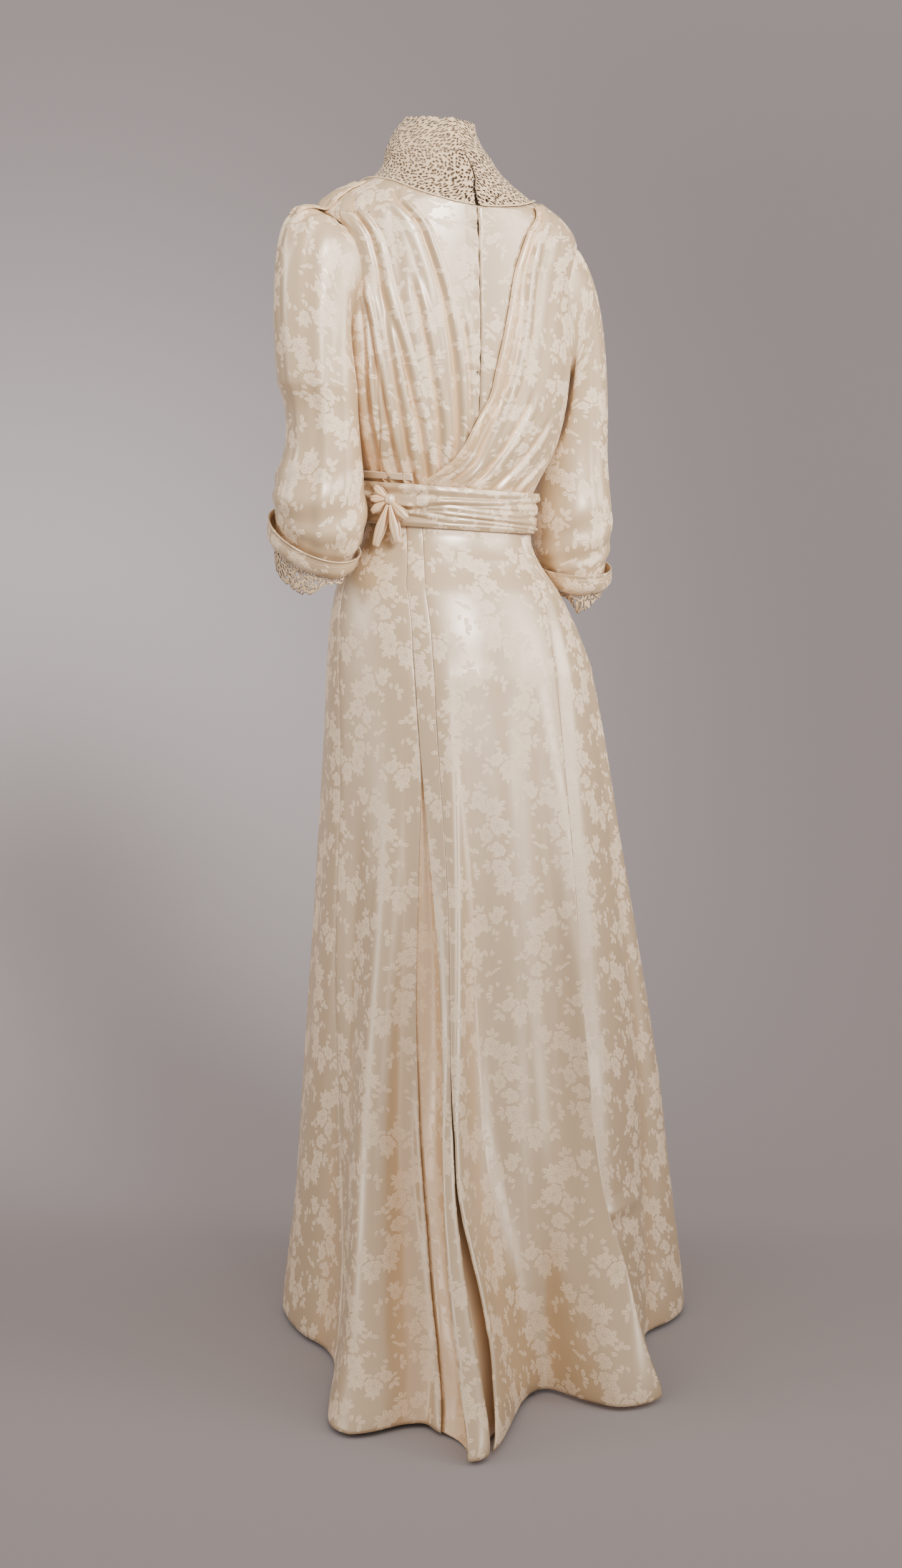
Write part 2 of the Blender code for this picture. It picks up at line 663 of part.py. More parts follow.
def surplice(u, v):
    """The draped panel, from its leading edge back to the side seam and the right armhole."""
    level = bodice_place(v, NECK_PLACE)
    for _ in range(3):
        lead = edge_angle(SURPLICE_EDGE, between(BODY, level)[0])
        end = right_back_edge(level) - SURPLICE_SET_BACK
        angle = lead + (end - lead) * np.clip(u, 0, 1) ** SURPLICE_CROWDING
        level = bodice_place(v, neck_place(angle) - SURPLICE_BELOW)

    def lifted(turn, place):
        height = between(BODY, place)[0]
        behind = turn - edge_angle(SURPLICE_EDGE, height)
        over_pleats = OVER_PLEATS * (0.4 + 0.6 * ease((height - WAIST_HEIGHT) / 0.03))
        over_pleats = over_pleats * ease((94.0 - turn) / 10.0) * ease((1.20 - height) / 0.05)
        over_shoulder = SHOULDER_LIFT * ease((height - 1.30) / 0.03)
        return LAYER + over_pleats + over_shoulder + surplice_out(behind, place)
    return moved_out(body, lifted, BODY_STEPS)(angle, level)


def make_surplice():
    cloth("surplice_right", surplice, 18, BODICE_ROWS, SILK)


def make_shoulder_band():
    """The folded band over the left shoulder, with soft folds along it."""
    def place(u, v):
        level = BAND_LOW + (BAND_HIGH - BAND_LOW) * v
        angle = BAND_START + (BAND_END - BAND_START) * u

        def lifted(turn, _):
            along = (turn - BAND_START) / (BAND_END - BAND_START)
            return BAND_OUT + BAND_FOLD * np.abs(np.sin(along * np.pi * BAND_FOLDS))
        return moved_out(body, lifted, BODY_STEPS)(angle, level)
    cloth("shoulder_band_left", place, 12, 5, SILK)


def strand(name, centres, width, depth, facing, color, sides=6, roughness=0.45, metallic=0.0):
    """A solid that follows a line of points, with an oval section as wide and deep as the sizes say."""
    mesh_data = bmesh.new()
    centres = np.asarray(centres, float)
    width = np.broadcast_to(width, len(centres))
    depth = np.broadcast_to(depth, len(centres))
    forward = np.gradient(centres, axis=0)
    forward = forward / np.linalg.norm(forward, axis=1, keepdims=True)
    facing = np.broadcast_to(facing, centres.shape)
    sideways = np.cross(forward, facing)
    sideways = sideways / np.linalg.norm(sideways, axis=1, keepdims=True)
    outward = np.cross(sideways, forward)
    rings = []
    for number, centre in enumerate(centres):
        ring = []
        for corner in range(sides):
            turn = 2 * np.pi * (corner + 0.5) / sides
            shift = sideways[number] * width[number] / 2 * np.cos(turn)
            shift = shift + outward[number] * depth[number] / 2 * np.sin(turn)
            ring.append(mesh_data.verts.new(centre + shift))
        rings.append(ring)
    for ring, following in zip(rings, rings[1:]):
        for corner in range(sides):
            after = (corner + 1) % sides
            mesh_data.faces.new((ring[corner], ring[after], following[after], following[corner]))
    mesh_data.faces.new(rings[0])
    mesh_data.faces.new(rings[-1])
    bmesh.ops.recalc_face_normals(mesh_data, faces=mesh_data.faces)
    return finish(name, mesh_data, color, roughness, metallic)


def make_neckline():
    """The thin piping round the bodice's top edge, open at the centre back."""
    angle = np.linspace(PIPING_START, PIPING_END, 30)
    level = neck_place(angle) + PIPING_PLACE
    facing = normal(body, angle, level, BODY_STEPS)
    centres = body(angle, level) + facing * PIPING_OUT
    strand("neckline_piping", centres, PIPING_THICK, PIPING_THICK, facing, SILK, sides=5)


def lace_opening(level):
    """The line where the lace opens at the back, which leans to the right below the collar."""
    return 90.0 + LACE_LEAN * hump((level - LACE_LEAN_AT) / LACE_LEAN_REACH)


def make_lace():
    def yoke(start, end, start_leans, end_leans):
        def place(u, v):
            top = COLLAR_FOOT - COLLAR_GAP
            level = NECK_PLACE + (top - NECK_PLACE) * v
            lean = lace_opening(level) - 90.0
            for _ in range(2):
                first = start + lean * start_leans
                last = end + lean * end_leans
                angle = first + (last - first) * u
                foot = neck_place(angle) + YOKE_LAP
                level = foot + (top - foot) * v
                lean = lace_opening(level) - 90.0
            return body(angle, level)
        return place
    cloth("lace_yoke_left", yoke(0.2, 89.6, 0, 1), 8, 3, LACE_THREAD, LACE, roughness=0.8)
    cloth("lace_yoke_right", yoke(90.4, 179.8, 1, 0), 8, 3, LACE_THREAD, LACE, roughness=0.8)
    cloth("lace_yoke_front", yoke(180.2, 359.8, 0, 0), 12, 3, LACE_THREAD, LACE, roughness=0.8)

    def collar(u, v):
        foot = COLLAR_FOOT + COLLAR_GAP
        level = foot + (COLLAR_TOP - foot) * v
        lean = lace_opening(level) - 90.0
        angle = 90.0 + lean - COLLAR_LAP * COLLAR_LAP_START + (360.0 + COLLAR_LAP * COLLAR_LAP_WHOLE) * u

        def lifted(turn, _):
            return COLLAR_LAP_OUT * ease((turn - lean - 430.0) / 14.0)
        return moved_out(body, lifted, BODY_STEPS)(angle, level)
    cloth("lace_collar", collar, 24, 4, LACE_THREAD, LACE, roughness=0.8)


def body_side(y, height, margin):
    """How far the body or the hip, grown by a margin, reaches sideways at a depth and height."""
    _, _, _, half_width, back, front = between(BODY, row_at(BODY, height))
    _, left, right, hip_back, hip_front = between(SKIRT, row_at(SKIRT, height))
    upper = height > WAIST_HEIGHT
    grown = margin + SASH_REACH * hump((height - SASH_HEIGHT) / 0.06)
    width = np.where(upper, half_width, np.maximum(left, right)) + grown
    depth = np.where(y > 0, np.where(upper, back, hip_back), np.where(upper, front, hip_front)) + grown
    return width * np.sqrt(np.clip(1 - (y / depth) ** 2, 0, 1))


def kept_clear(x, y, height, margin):
    """Push a sleeve's points outward until they clear the body, as soft cloth lies against it."""
    cuff_room = CUFF_ROOM * ease((CUFF_ROOM_FROM - height) / CUFF_ROOM_OVER)
    limit = body_side(y, height, margin) + CLEAR_SIDE + cuff_room
    return limit + CLEAR_SOFTNESS * np.logaddexp(0, (x - limit) / CLEAR_SOFTNESS)


def sleeve_ring(rows, margin, turn, place):
    """A ring of the sleeve at a place in its table, in the left sleeve's own sense."""
    height, middle_x, middle_y, half_wide, half_deep, rise, fall = between(rows, place)
    x = middle_x + half_wide * np.cos(turn)
    y = middle_y + half_deep * np.sin(turn)
    z = height + rise * (x - middle_x) + fall * (y - middle_y)
    return kept_clear(x, y, z, margin), y, z


def armhole_point(turn):
    """A point just inside the left armhole's edge, from the shoulder round the back to under the arm."""
    place = ARMHOLE_MIDDLE + (ARMHOLE_HALF - CAP_INSIDE_ENDS) * np.cos(turn)
    height, _, _, half_width, back, front = between(BODY, place)
    depth = np.where(np.sin(turn) > 0, back, front)
    reach = np.where(np.sin(turn) > 0, ARMHOLE_BACK, ARMHOLE_FRONT) - CAP_INSIDE
    y = reach * np.sin(turn)
    return half_width * np.sqrt(1 - (y / depth) ** 2), y, height


def ring_turn(u, side):
    """Evenly round a sleeve, so that both sleeves' walls face outward."""
    return 2 * np.pi * (u if side > 0 else 1 - u)


def crowded_turn(u, side):
    """Round a sleeve with its columns closer together at the top of the shoulder."""
    turn = ring_turn(u, side)
    return turn - CAP_CROWDING * np.sin(turn)


def sleeve(rows, cap, margin, side):
    """The whole sleeve: from the armhole over the cap, then down its rings."""
    first_reach, first_rise, fullness = cap

    def place(u, v):
        turn = crowded_turn(u, side)
        outer = np.clip(np.cos(turn), 0, 1)
        start_x, start_y, start_z = armhole_point(turn)
        end_x, end_y, end_z = sleeve_ring(rows, margin, turn, np.zeros_like(u))
        first_x = start_x + (end_x - start_x) * (0.75 + (first_reach - 0.75) * outer)
        first_y = start_y + (end_y - start_y) * 0.35
        first_z = start_z + first_rise * outer + UNDERARM_RISE * (1 - outer)
        last_x = end_x + fullness * outer
        last_y = start_y + (end_y - start_y) * 0.8
        last_z = end_z + (start_z - end_z) * 0.62
        first_x = kept_clear(first_x, first_y, first_z, margin)
        last_x = kept_clear(last_x, last_y, last_z, margin)
        share = np.clip(v / CAP_SHARE, 0, 1)
        weights = ((1 - share) ** 3, 3 * (1 - share) ** 2 * share, 3 * (1 - share) * share ** 2, share ** 3)
        x = sum(weight * value for weight, value in zip(weights, (start_x, first_x, last_x, end_x)))
        y = sum(weight * value for weight, value in zip(weights, (start_y, first_y, last_y, end_y)))
        z = sum(weight * value for weight, value in zip(weights, (start_z, first_z, last_z, end_z)))
        level = np.clip((v - CAP_SHARE) / (1 - CAP_SHARE), 0, 1) * SLEEVE_END
        low_x, low_y, low_z = sleeve_ring(rows, margin, turn, level)
        lower = v > CAP_SHARE
        x = np.where(lower, low_x, x)
        return leaned(side * x, np.where(lower, low_y, y), np.where(lower, low_z, z))

    def gathered(u, v):
        top = np.degrees((crowded_turn(u, 1) + np.pi) % (2 * np.pi) - np.pi)
        ripple = np.cos(np.radians(top) * CAP_PLEATS) * hump(top / 75)
        return CAP_PLEAT_HEIGHT * ripple * ease(v / 0.05) * ease((0.30 - v) / 0.20)
    return moved_out(place, gathered, CAP_STEPS)


def sleeve_piece(whole, first, last):
    """The lengthwise piece of a sleeve between two of its strips, with a seam's gap at each edge."""
    start = first / SLEEVE_STRIPS + SLEEVE_SEAM
    end = last / SLEEVE_STRIPS - SLEEVE_SEAM
    return lambda u, v: whole(start + (end - start) * u, v)


def arm_surface(rows, margin, side):
    """The sleeve's rings as a surface of the turn and the place."""
    def place(turn, level):
        x, y, z = sleeve_ring(rows, margin, turn, level)
        return leaned(side * x, y, z)
    return place


def cuff(rows, margin, side):
    """The band that is turned back over the end of the sleeve."""
    def place(u, v):
        level, out = between(CUFF, v * (len(CUFF) - 1))

        def lifted(turn, _):
            beside_body = CUFF_FLATTER * ease(-np.cos(turn) * 1.5)
            return -side * out * (1 - beside_body)
        return moved_out(arm_surface(rows, margin, side), lifted, ARM_STEPS)(crowded_turn(u, side), level)
    return place


def frill(rows, margin, drops, side, begin):
    """Half of the lace under a cuff, with a scalloped edge and eyelets in its middle row."""

    def place(u, v):
        step = u * EYELETS
        inside = step - np.floor(step)
        edge = (1 - EYELET / EYELET_PERIOD) / 2
        inside = np.interp(inside, (0, 1 / 3, 2 / 3, 1), (0, edge, 1 - edge, 1))
        share = begin + FRILL_SPLIT + (0.5 - 2 * FRILL_SPLIT) * (np.floor(step) + inside) / EYELETS
        turn = ring_turn(share, side)
        angle = (np.degrees(turn) + 180.0) % 360.0 - 180.0
        drop = between(drops, row_at(drops, angle))[1]
        notch = SCALLOP_DEEP * np.clip((drop - SCALLOP_FROM) / SCALLOP_OVER, 0, 1)
        drop = drop - notch * (np.abs(inside - 0.5) > 0.4) * ease((v - 0.7) / 0.3)
        down = np.interp(v, (0, 1 / 3, 2 / 3, 1), (0, 1, 2, 3))
        top = np.full(np.shape(u), FRILL_GAP)
        high = np.minimum(EYELET_TOP, drop * 0.45)
        low = np.minimum(high + EYELET, drop * 0.75)
        depth = np.where(down < 1, top + (high - top) * down, high + (low - high) * (down - 1))
        depth = np.where(down > 2, low + (drop - low) * (down - 2), depth)
        return arm_surface(rows, margin, side)(turn, SLEEVE_END + depth / SLEEVE_LAST_ROW)
    return place


def make_sleeves():
    for name, side, rows, cap, margin, drops in SLEEVES:
        if name == "right":
            cloth("sleeve_right", sleeve(rows, cap, margin, side), SLEEVE_STRIPS, 14, SILK, closed=True)
        for part, first, last in LEFT_SLEEVE_PIECES:
            if name == "left":
                piece = sleeve_piece(sleeve(rows, cap, margin, side), first, last)
                cloth(f"sleeve_left_{part}", piece, last - first, 14, SILK)
        cloth(f"cuff_{name}", cuff(rows, margin, side), SLEEVE_STRIPS, 3, SILK, CUFF_THICK, closed=True)
        for part, begin in (("outer", -0.25), ("inner", 0.25)):
            half = frill(rows, margin, drops, side, begin)
            cloth(f"cuff_lace_{name}_{part}", half, EYELETS * 3, 3, LACE_THREAD, LACE,
                  holes=is_eyelet, roughness=0.8)


def is_eyelet(u, v):
    """Whether the middle of a face lies in an eyelet."""
    return abs((u * EYELETS) % 1.0 - 0.5) < 0.17 and abs(v - 0.5) < 0.17


def arc_degrees(angle, height, length):
    """A length along the skirt as degrees round it."""
    _, left, right, back, front = between(SKIRT, row_at(SKIRT, height))
    turn = np.radians(angle)
    width = np.where(np.cos(turn) > 0, left, right)
    depth = np.where(np.sin(turn) > 0, back, front)
    return np.degrees(length / np.hypot(width * np.sin(turn), depth * np.cos(turn)))


def skirt_panel(start, end, surface, out=None, top=13.0):
    """A gore between two edges that are read at each height."""
    def place(u, v):
        height = between(SKIRT, v * top)[0]
        first = start(height)
        last = end(height)
        first = first + arc_degrees(first, height, SEAM_GAP / 2)
        last = last - arc_degrees(last, height, SEAM_GAP / 2)
        angle = first + (last - first) * u
        if out is None:
            return surface(angle, height)
        return moved_out(surface, out, SKIRT_STEPS)(angle, height)
    return place


def low_share(height):
    """How much a fold that opens towards the hem is open at this height."""
    return np.clip(1 - height / FOLDS_OPEN_AT, 0, 1)


def left_seam(height):
    return edge_angle(LEFT_SEAM, height)


def pleat_fold(height):
    """The left edge of the pleat, which is the strip's own edge above the place where it opens."""
    closed = strip_edge(height)
    return np.where(height > PLEAT_FOLD[-1][0], closed, np.minimum(edge_angle(PLEAT_FOLD, height), closed))


def strip_edge(height):
    return edge_angle(STRIP_EDGE, height)


def strip_seam(height):
    return edge_angle(STRIP_SEAM, height)


def gore_start(height):
    return strip_seam(height) + STRIP_OPENS * hump((height - STRIP_OPENS_HEIGHT) / STRIP_OPENS_REACH)


def gore_fold(height):
    return edge_angle(GORE_FOLD, height)


def front_right_seam(height):
    return np.full(np.shape(height), FRONT_SEAM - 180.0)


def front_left_seam(height):
    return np.full(np.shape(height), -float(FRONT_SEAM))


def side_right_end(height):
    return np.full(np.shape(height), 180.0 + FRONT_SEAM)


def side_right_start(height):
    return gore_fold(height) - FOLD_OVERLAP


def under_start(height):
    return pleat_fold(height) - UNDER_LEFT


def under_end(height):
    return strip_edge(height) + UNDER_RIGHT


def pleat_out(angle, height):
    """The inside of the pleat lies behind both of its edges and sinks between them."""
    share = (angle - pleat_fold(height)) / np.maximum(strip_edge(height) - pleat_fold(height), 0.5)
    under = UNDER_BEHIND + UNDER_BEHIND_LOW * low_share(height)
    return -under - PLEAT_DEPTH * low_share(height) ** 0.7 * hump((share - 0.5) / 0.62)


def behind_fold(angle, height):
    """The side gore starts behind the back gore's fold, then comes up level with it."""
    past = angle - gore_fold(height)
    behind = SIDE_BEHIND + SIDE_BEHIND_LOW * low_share(height)
    return -behind * ease((SIDE_LEVEL_AT - past) / SIDE_RISES_OVER)


def make_skirt():
    cloth("skirt_front", skirt_panel(front_right_seam, front_left_seam, skirt), 8, 13, SILK)
    cloth("skirt_side_left", skirt_panel(front_left_seam, left_seam, skirt), 5, 13, SILK)
    cloth("skirt_back_left", skirt_panel(left_seam, pleat_fold, skirt), 16, 13, SILK)
    inside = skirt_panel(under_start, under_end, skirt, pleat_out, UNDER_TOP)
    cloth("skirt_pleat_inside", inside, 10, 9, SILK_INSIDE)
    cloth("skirt_strip_back", skirt_panel(strip_edge, strip_seam, skirt), 3, 13, SILK)
    cloth("skirt_back_right", skirt_panel(gore_start, gore_fold, skirt), 18, 13, SILK)
    side = skirt_panel(side_right_start, side_right_end, side_skirt, behind_fold)
    cloth("skirt_side_right", side, 14, 13, SILK)


def waist_ring(angle, height):
    """The waist under the sash, straight between the skirt's rows."""
    rows = np.asarray(SKIRT)
    left, right, back, front = (np.interp(height, rows[:, 0], rows[:, column]) for column in range(1, 5))
    turn = np.radians(angle)
    width = np.where(np.cos(turn) > 0, left, right)
    depth = np.where(np.sin(turn) > 0, back, front)
    return leaned(width * np.cos(turn), depth * np.sin(turn), height)


def sash_surface(angle, place):
    """The sash's folds run round the waist and gather towards the knot."""
    height, out = between(SASH, place)
    wave = SASH_WAVE * np.sin(np.radians(angle * 3 + place * 40))

    def lifted(turn, _):
        return np.broadcast_to(out + wave, np.shape(turn))
    return moved_out(waist_ring, lifted, SKIRT_STEPS)(angle, height)


def sash(u, v):
    return sash_surface(KNOT_ANGLE + 360.0 * u, v * (len(SASH) - 1))


def waistband(u, v):
    """The plain band that shows above the sash, left of the surplice."""
    angle = WAISTBAND_START + (WAISTBAND_END - WAISTBAND_START) * u
    height = WAISTBAND_FOOT + WAISTBAND_HIGH * v

    def lifted(turn, _):
        return np.full(np.shape(turn), WAISTBAND_OUT)
    return moved_out(body, lifted, BODY_STEPS)(angle, row_at(BODY, height))


def make_waist():
    cloth("sash", sash, 24, 8, SILK, closed=True)
    cloth("waistband", waistband, 18, 1, SILK)


def make_bow():
    """The knot, and the loops that fan out of it, each a ribbon that goes out and comes back."""
    angle = np.array([KNOT_ANGLE])
    height = np.array([KNOT_HEIGHT])
    out = normal(waist_ring, angle, height, SKIRT_STEPS)[0]
    heart = waist_ring(angle, height)[0] + out * KNOT_OUT
    across = np.cross((0.0, 0.0, 1.0), out)
    across = across / np.linalg.norm(across)
    upward = np.cross(out, across)
    mesh_data = bmesh.new()
    bmesh.ops.create_uvsphere(mesh_data, u_segments=8, v_segments=6, radius=1.0)
    turned = Matrix((across * KNOT_SIZE[0], upward * KNOT_SIZE[1], out * KNOT_SIZE[2])).transposed()
    bmesh.ops.transform(mesh_data, matrix=turned.to_4x4(), verts=mesh_data.verts)
    bmesh.ops.translate(mesh_data, vec=Vector(heart), verts=mesh_data.verts)
    finish("bow_knot", mesh_data, SILK)
    for name, direction, length, wide in BOW:
        turn = math.radians(direction)
        knot_reach = 1 / math.hypot(math.cos(turn) / KNOT_SIZE[0], math.sin(turn) / KNOT_SIZE[1])
        start = knot_reach + KNOT_GAP - length * (1 - math.cos(2 * math.pi * LOOP_SHORT)) / 2
        along = across * math.cos(turn) + upward * math.sin(turn)
        sideways = np.cross(out, along)
        centres = []
        facing = []
        widths = []
        for step in range(LOOP_STEPS + 1):
            share = LOOP_SHORT + (1 - 2 * LOOP_SHORT) * step / LOOP_STEPS
            reach = (1 - math.cos(2 * math.pi * share)) / 2
            lift = -math.sin(2 * math.pi * share) * LOOP_DEEP / 2
            centres.append(heart + along * (start + length * reach) + out * lift)
            facing.append(-along * math.cos(2 * math.pi * share) - out * math.sin(2 * math.pi * share) * 2)
            widths.append(LOOP_NARROW + (wide - LOOP_NARROW) * ease(reach * 1.6))
        ribbon(name, centres, widths, sideways)


def ribbon(name, centres, widths, sideways):
    """A flat ribbon that follows a line, its width always along one direction."""
    mesh_data = bmesh.new()
    centres = np.asarray(centres, float)
    forward = np.gradient(centres, axis=0)
    forward = forward / np.linalg.norm(forward, axis=1, keepdims=True)
    rings = []
    for centre, ahead, wide in zip(centres, forward, widths):
        outward = np.cross(sideways, ahead)
        corners = ((1, 1), (-1, 1), (-1, -1), (1, -1))
        rings.append([mesh_data.verts.new(centre + sideways * wide / 2 * a + outward * RIBBON_THICK / 2 * b)
                      for a, b in corners])
    for ring, following in zip(rings, rings[1:]):
        for corner in range(4):
            after = (corner + 1) % 4
            mesh_data.faces.new((ring[corner], ring[after], following[after], following[corner]))
    mesh_data.faces.new(rings[0])
    mesh_data.faces.new(rings[-1])
    bmesh.ops.recalc_face_normals(mesh_data, faces=mesh_data.faces)
    return finish(name, mesh_data, SILK)


def make_hooks():
    """Small bent-wire hooks, each as the short bar that shows."""
    for name, angle, place, out in HOOKS:
        turn = np.full(5, angle) + np.linspace(-1.2, 1.2, 5)
        level = np.full(5, place)
        facing = normal(body, turn, level, BODY_STEPS)
        lift = np.array([0.0, 0.0003, 0.0004, 0.0003, 0.0])[:, None]
        strand(name, body(turn, level) + facing * (out + lift), 0.0016, 0.0011, facing, STEEL, 6, 0.35, 0.9)


def main():
    for thing in list(bpy.data.objects):
        bpy.data.objects.remove(thing)
    make_bodice()
    make_surplice()
    make_shoulder_band()
    make_neckline()
    make_lace()
    make_sleeves()
    make_waist()
    make_bow()
    make_hooks()
    make_skirt()


main()
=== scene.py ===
# %% [markdown]
# # A tea gown of cream silk damask
#
# The gown is empty, but its cloth keeps the form that it has when it is worn. The solids of the frame
# hold that form in coarse walls. This lesson lays a finer shell on each of them, gives the silk its
# woven roses, the lace its net and the cuffs their stitches, and lights it like a studio picture.

# %% Load the frame
import math

import bmesh
import bpy
import numpy as np
from mathutils import Matrix, Vector


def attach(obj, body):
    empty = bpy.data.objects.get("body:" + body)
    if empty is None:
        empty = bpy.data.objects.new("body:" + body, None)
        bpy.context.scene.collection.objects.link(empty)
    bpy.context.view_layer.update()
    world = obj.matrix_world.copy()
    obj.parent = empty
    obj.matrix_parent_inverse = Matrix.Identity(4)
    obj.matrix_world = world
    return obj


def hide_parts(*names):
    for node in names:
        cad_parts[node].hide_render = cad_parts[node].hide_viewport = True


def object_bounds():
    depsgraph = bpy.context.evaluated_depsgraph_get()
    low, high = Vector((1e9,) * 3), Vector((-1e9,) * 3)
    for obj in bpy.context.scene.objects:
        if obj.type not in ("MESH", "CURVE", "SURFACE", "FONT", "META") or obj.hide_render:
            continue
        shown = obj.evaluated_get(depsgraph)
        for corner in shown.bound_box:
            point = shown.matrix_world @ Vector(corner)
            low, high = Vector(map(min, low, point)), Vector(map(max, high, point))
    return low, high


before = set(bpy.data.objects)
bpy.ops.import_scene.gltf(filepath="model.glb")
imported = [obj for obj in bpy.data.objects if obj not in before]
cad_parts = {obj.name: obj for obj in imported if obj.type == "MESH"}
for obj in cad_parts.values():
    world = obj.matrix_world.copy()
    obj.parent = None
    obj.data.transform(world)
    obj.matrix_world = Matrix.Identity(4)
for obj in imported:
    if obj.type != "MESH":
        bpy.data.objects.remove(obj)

cad_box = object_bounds()
FLOOR = -1.395
print("frame box", [[round(float(value), 3) for value in corner] for corner in cad_box])


def describe(columns, **tables):
    """Print how many rows each table has and what its columns say."""
    for title, rows in tables.items():
        print(title, "has", len(rows), "rows of", ", ".join(columns))


# %% [markdown]
# ## The camera
#
# The picture was taken from behind the gown's left shoulder, from chest height. A pinhole camera
# needs four things: where it stands, which way it turns, how far down it tips, and its lens. The lens
# is worked out from the picture's height in pixels, because a lens in pixels is what perspective
# lines give. The camera is a plain object with no shift and no blur.

# %% Camera
IMAGE_HIGH = 2512
LENS_PIXELS = 4304
HORIZON_PIXEL = 640
AXIS_OFF_CENTRE_PIXELS = 7.5
CAMERA_TURN = math.radians(24)
CAMERA_AWAY = 3.4
CAMERA_HIGH = 1.15
SENSOR_MM = 36.0

camera_data = bpy.data.cameras.new("camera")
camera_data.sensor_fit = "VERTICAL"
camera_data.sensor_height = SENSOR_MM
camera_data.lens = LENS_PIXELS * SENSOR_MM / IMAGE_HIGH
camera = bpy.data.objects.new("camera", camera_data)
bpy.context.scene.collection.objects.link(camera)
bpy.context.scene.camera = camera
pitch = math.atan((IMAGE_HIGH / 2 - HORIZON_PIXEL) / LENS_PIXELS)
to_right = Vector((-math.cos(CAMERA_TURN), math.sin(CAMERA_TURN), 0.0))
level_ahead = Vector((-math.sin(CAMERA_TURN), -math.cos(CAMERA_TURN), 0.0))
ahead = level_ahead * math.cos(pitch) - Vector((0, 0, math.sin(pitch)))
sideways = AXIS_OFF_CENTRE_PIXELS / LENS_PIXELS * CAMERA_AWAY
stand = -level_ahead * CAMERA_AWAY + to_right * sideways + Vector((0, 0, CAMERA_HIGH + FLOOR))
turned = Matrix((to_right, to_right.cross(ahead), -ahead)).transposed().to_4x4()
camera.matrix_world = Matrix.Translation(stand) @ turned
print("camera stands at", [round(value, 3) for value in stand], "lens", round(camera_data.lens, 1), "mm")

# %% [markdown]
# ## The backdrop
#
# The backdrop is one sheet of pale grey paper. Two sheets would meet in a line across the picture, so
# one grid is lifted behind the gown along a quarter circle. Its colour is painted a little lighter
# towards the top: painted light, for the wall that stands brighter than the floor. From behind it is
# clear, so that the gown's front can be looked at through it.

# %% Backdrop
STAGE_HALF = 5.0
STAGE_ROWS = 60
BEND_RADIUS = 1.5
BEND_STARTS = 0.45
WALL_STRETCH = 2.0
UNDER_HEM = 0.0003
LIGHTER_OVER = 2.2
PAPER_ROUGHNESS = 0.95
PAPER_LOW = (0.325, 0.288, 0.290, 1.0)
PAPER_PAINTED_LIT = (0.425, 0.385, 0.400, 1.0)


def make_backdrop():
    mesh = bmesh.new()
    made = bmesh.ops.create_grid(mesh, x_segments=1, y_segments=STAGE_ROWS, size=STAGE_HALF)
    quarter = BEND_RADIUS * math.pi / 2
    paper_level = cad_box[0][2] - UNDER_HEM
    for point in made["verts"]:
        past = point.co.y - BEND_STARTS
        if past > 0:
            turn = min(past, quarter) / BEND_RADIUS
            rise = BEND_RADIUS * (1 - math.cos(turn)) + max(past - quarter, 0) * WALL_STRETCH
            point.co = (point.co.x, BEND_STARTS + BEND_RADIUS * math.sin(turn), rise)
        across, back, high = point.co
        point.co = level_ahead * back + to_right * across + Vector((0, 0, high + paper_level))
    mesh.normal_update()
    mesh.faces.ensure_lookup_table()
    if mesh.faces[0].normal.z < 0:
        bmesh.ops.reverse_faces(mesh, faces=mesh.faces)
    data = bpy.data.meshes.new("backdrop")
    mesh.to_mesh(data)
    mesh.free()
    data.shade_smooth()
    sheet = bpy.data.objects.new("backdrop", data)
    bpy.context.scene.collection.objects.link(sheet)
    paper = bpy.data.materials.new("backdrop_paper")
    paper.use_nodes = True
    nodes, links = paper.node_tree.nodes, paper.node_tree.links
    shader = nodes["Principled BSDF"]
    grade = nodes.new("ShaderNodeMapRange")
    grade.inputs["From Min"].default_value = FLOOR
    grade.inputs["From Max"].default_value = FLOOR + LIGHTER_OVER
    # Painted light: the paper's colour grows lighter with height.
    tint = nodes.new("ShaderNodeMix")
    tint.data_type = "RGBA"
    tint.inputs["A"].default_value = PAPER_LOW
    tint.inputs["B"].default_value = PAPER_PAINTED_LIT
    height = nodes.new("ShaderNodeSeparateXYZ")
    links.new(nodes.new("ShaderNodeTexCoord").outputs["Object"], height.inputs[0])
    links.new(height.outputs["Z"], grade.inputs["Value"])
    links.new(grade.outputs["Result"], tint.inputs["Factor"])
    links.new(tint.outputs["Result"], shader.inputs["Base Color"])
    shader.inputs["Roughness"].default_value = PAPER_ROUGHNESS
    behind = nodes.new("ShaderNodeNewGeometry")
    clear = nodes.new("ShaderNodeBsdfTransparent")
    either = nodes.new("ShaderNodeMixShader")
    links.new(behind.outputs["Backfacing"], either.inputs["Fac"])
    links.new(shader.outputs["BSDF"], either.inputs[1])
    links.new(clear.outputs["BSDF"], either.inputs[2])
    links.new(either.outputs["Shader"], nodes["Material Output"].inputs["Surface"])
    data.materials.append(paper)
    print("backdrop", len(data.polygons), "faces")


make_backdrop()

# %% [markdown]
# ## The light
#
# A small lamp would leave hard spots on silk, so three soft boxes light it. One behind the camera and
# to its right gives the shoulders and hips their shine, and one at each side keeps the edges from
# going dark. Each holds its light within a spread, so that the paper stays even under a warm sky.

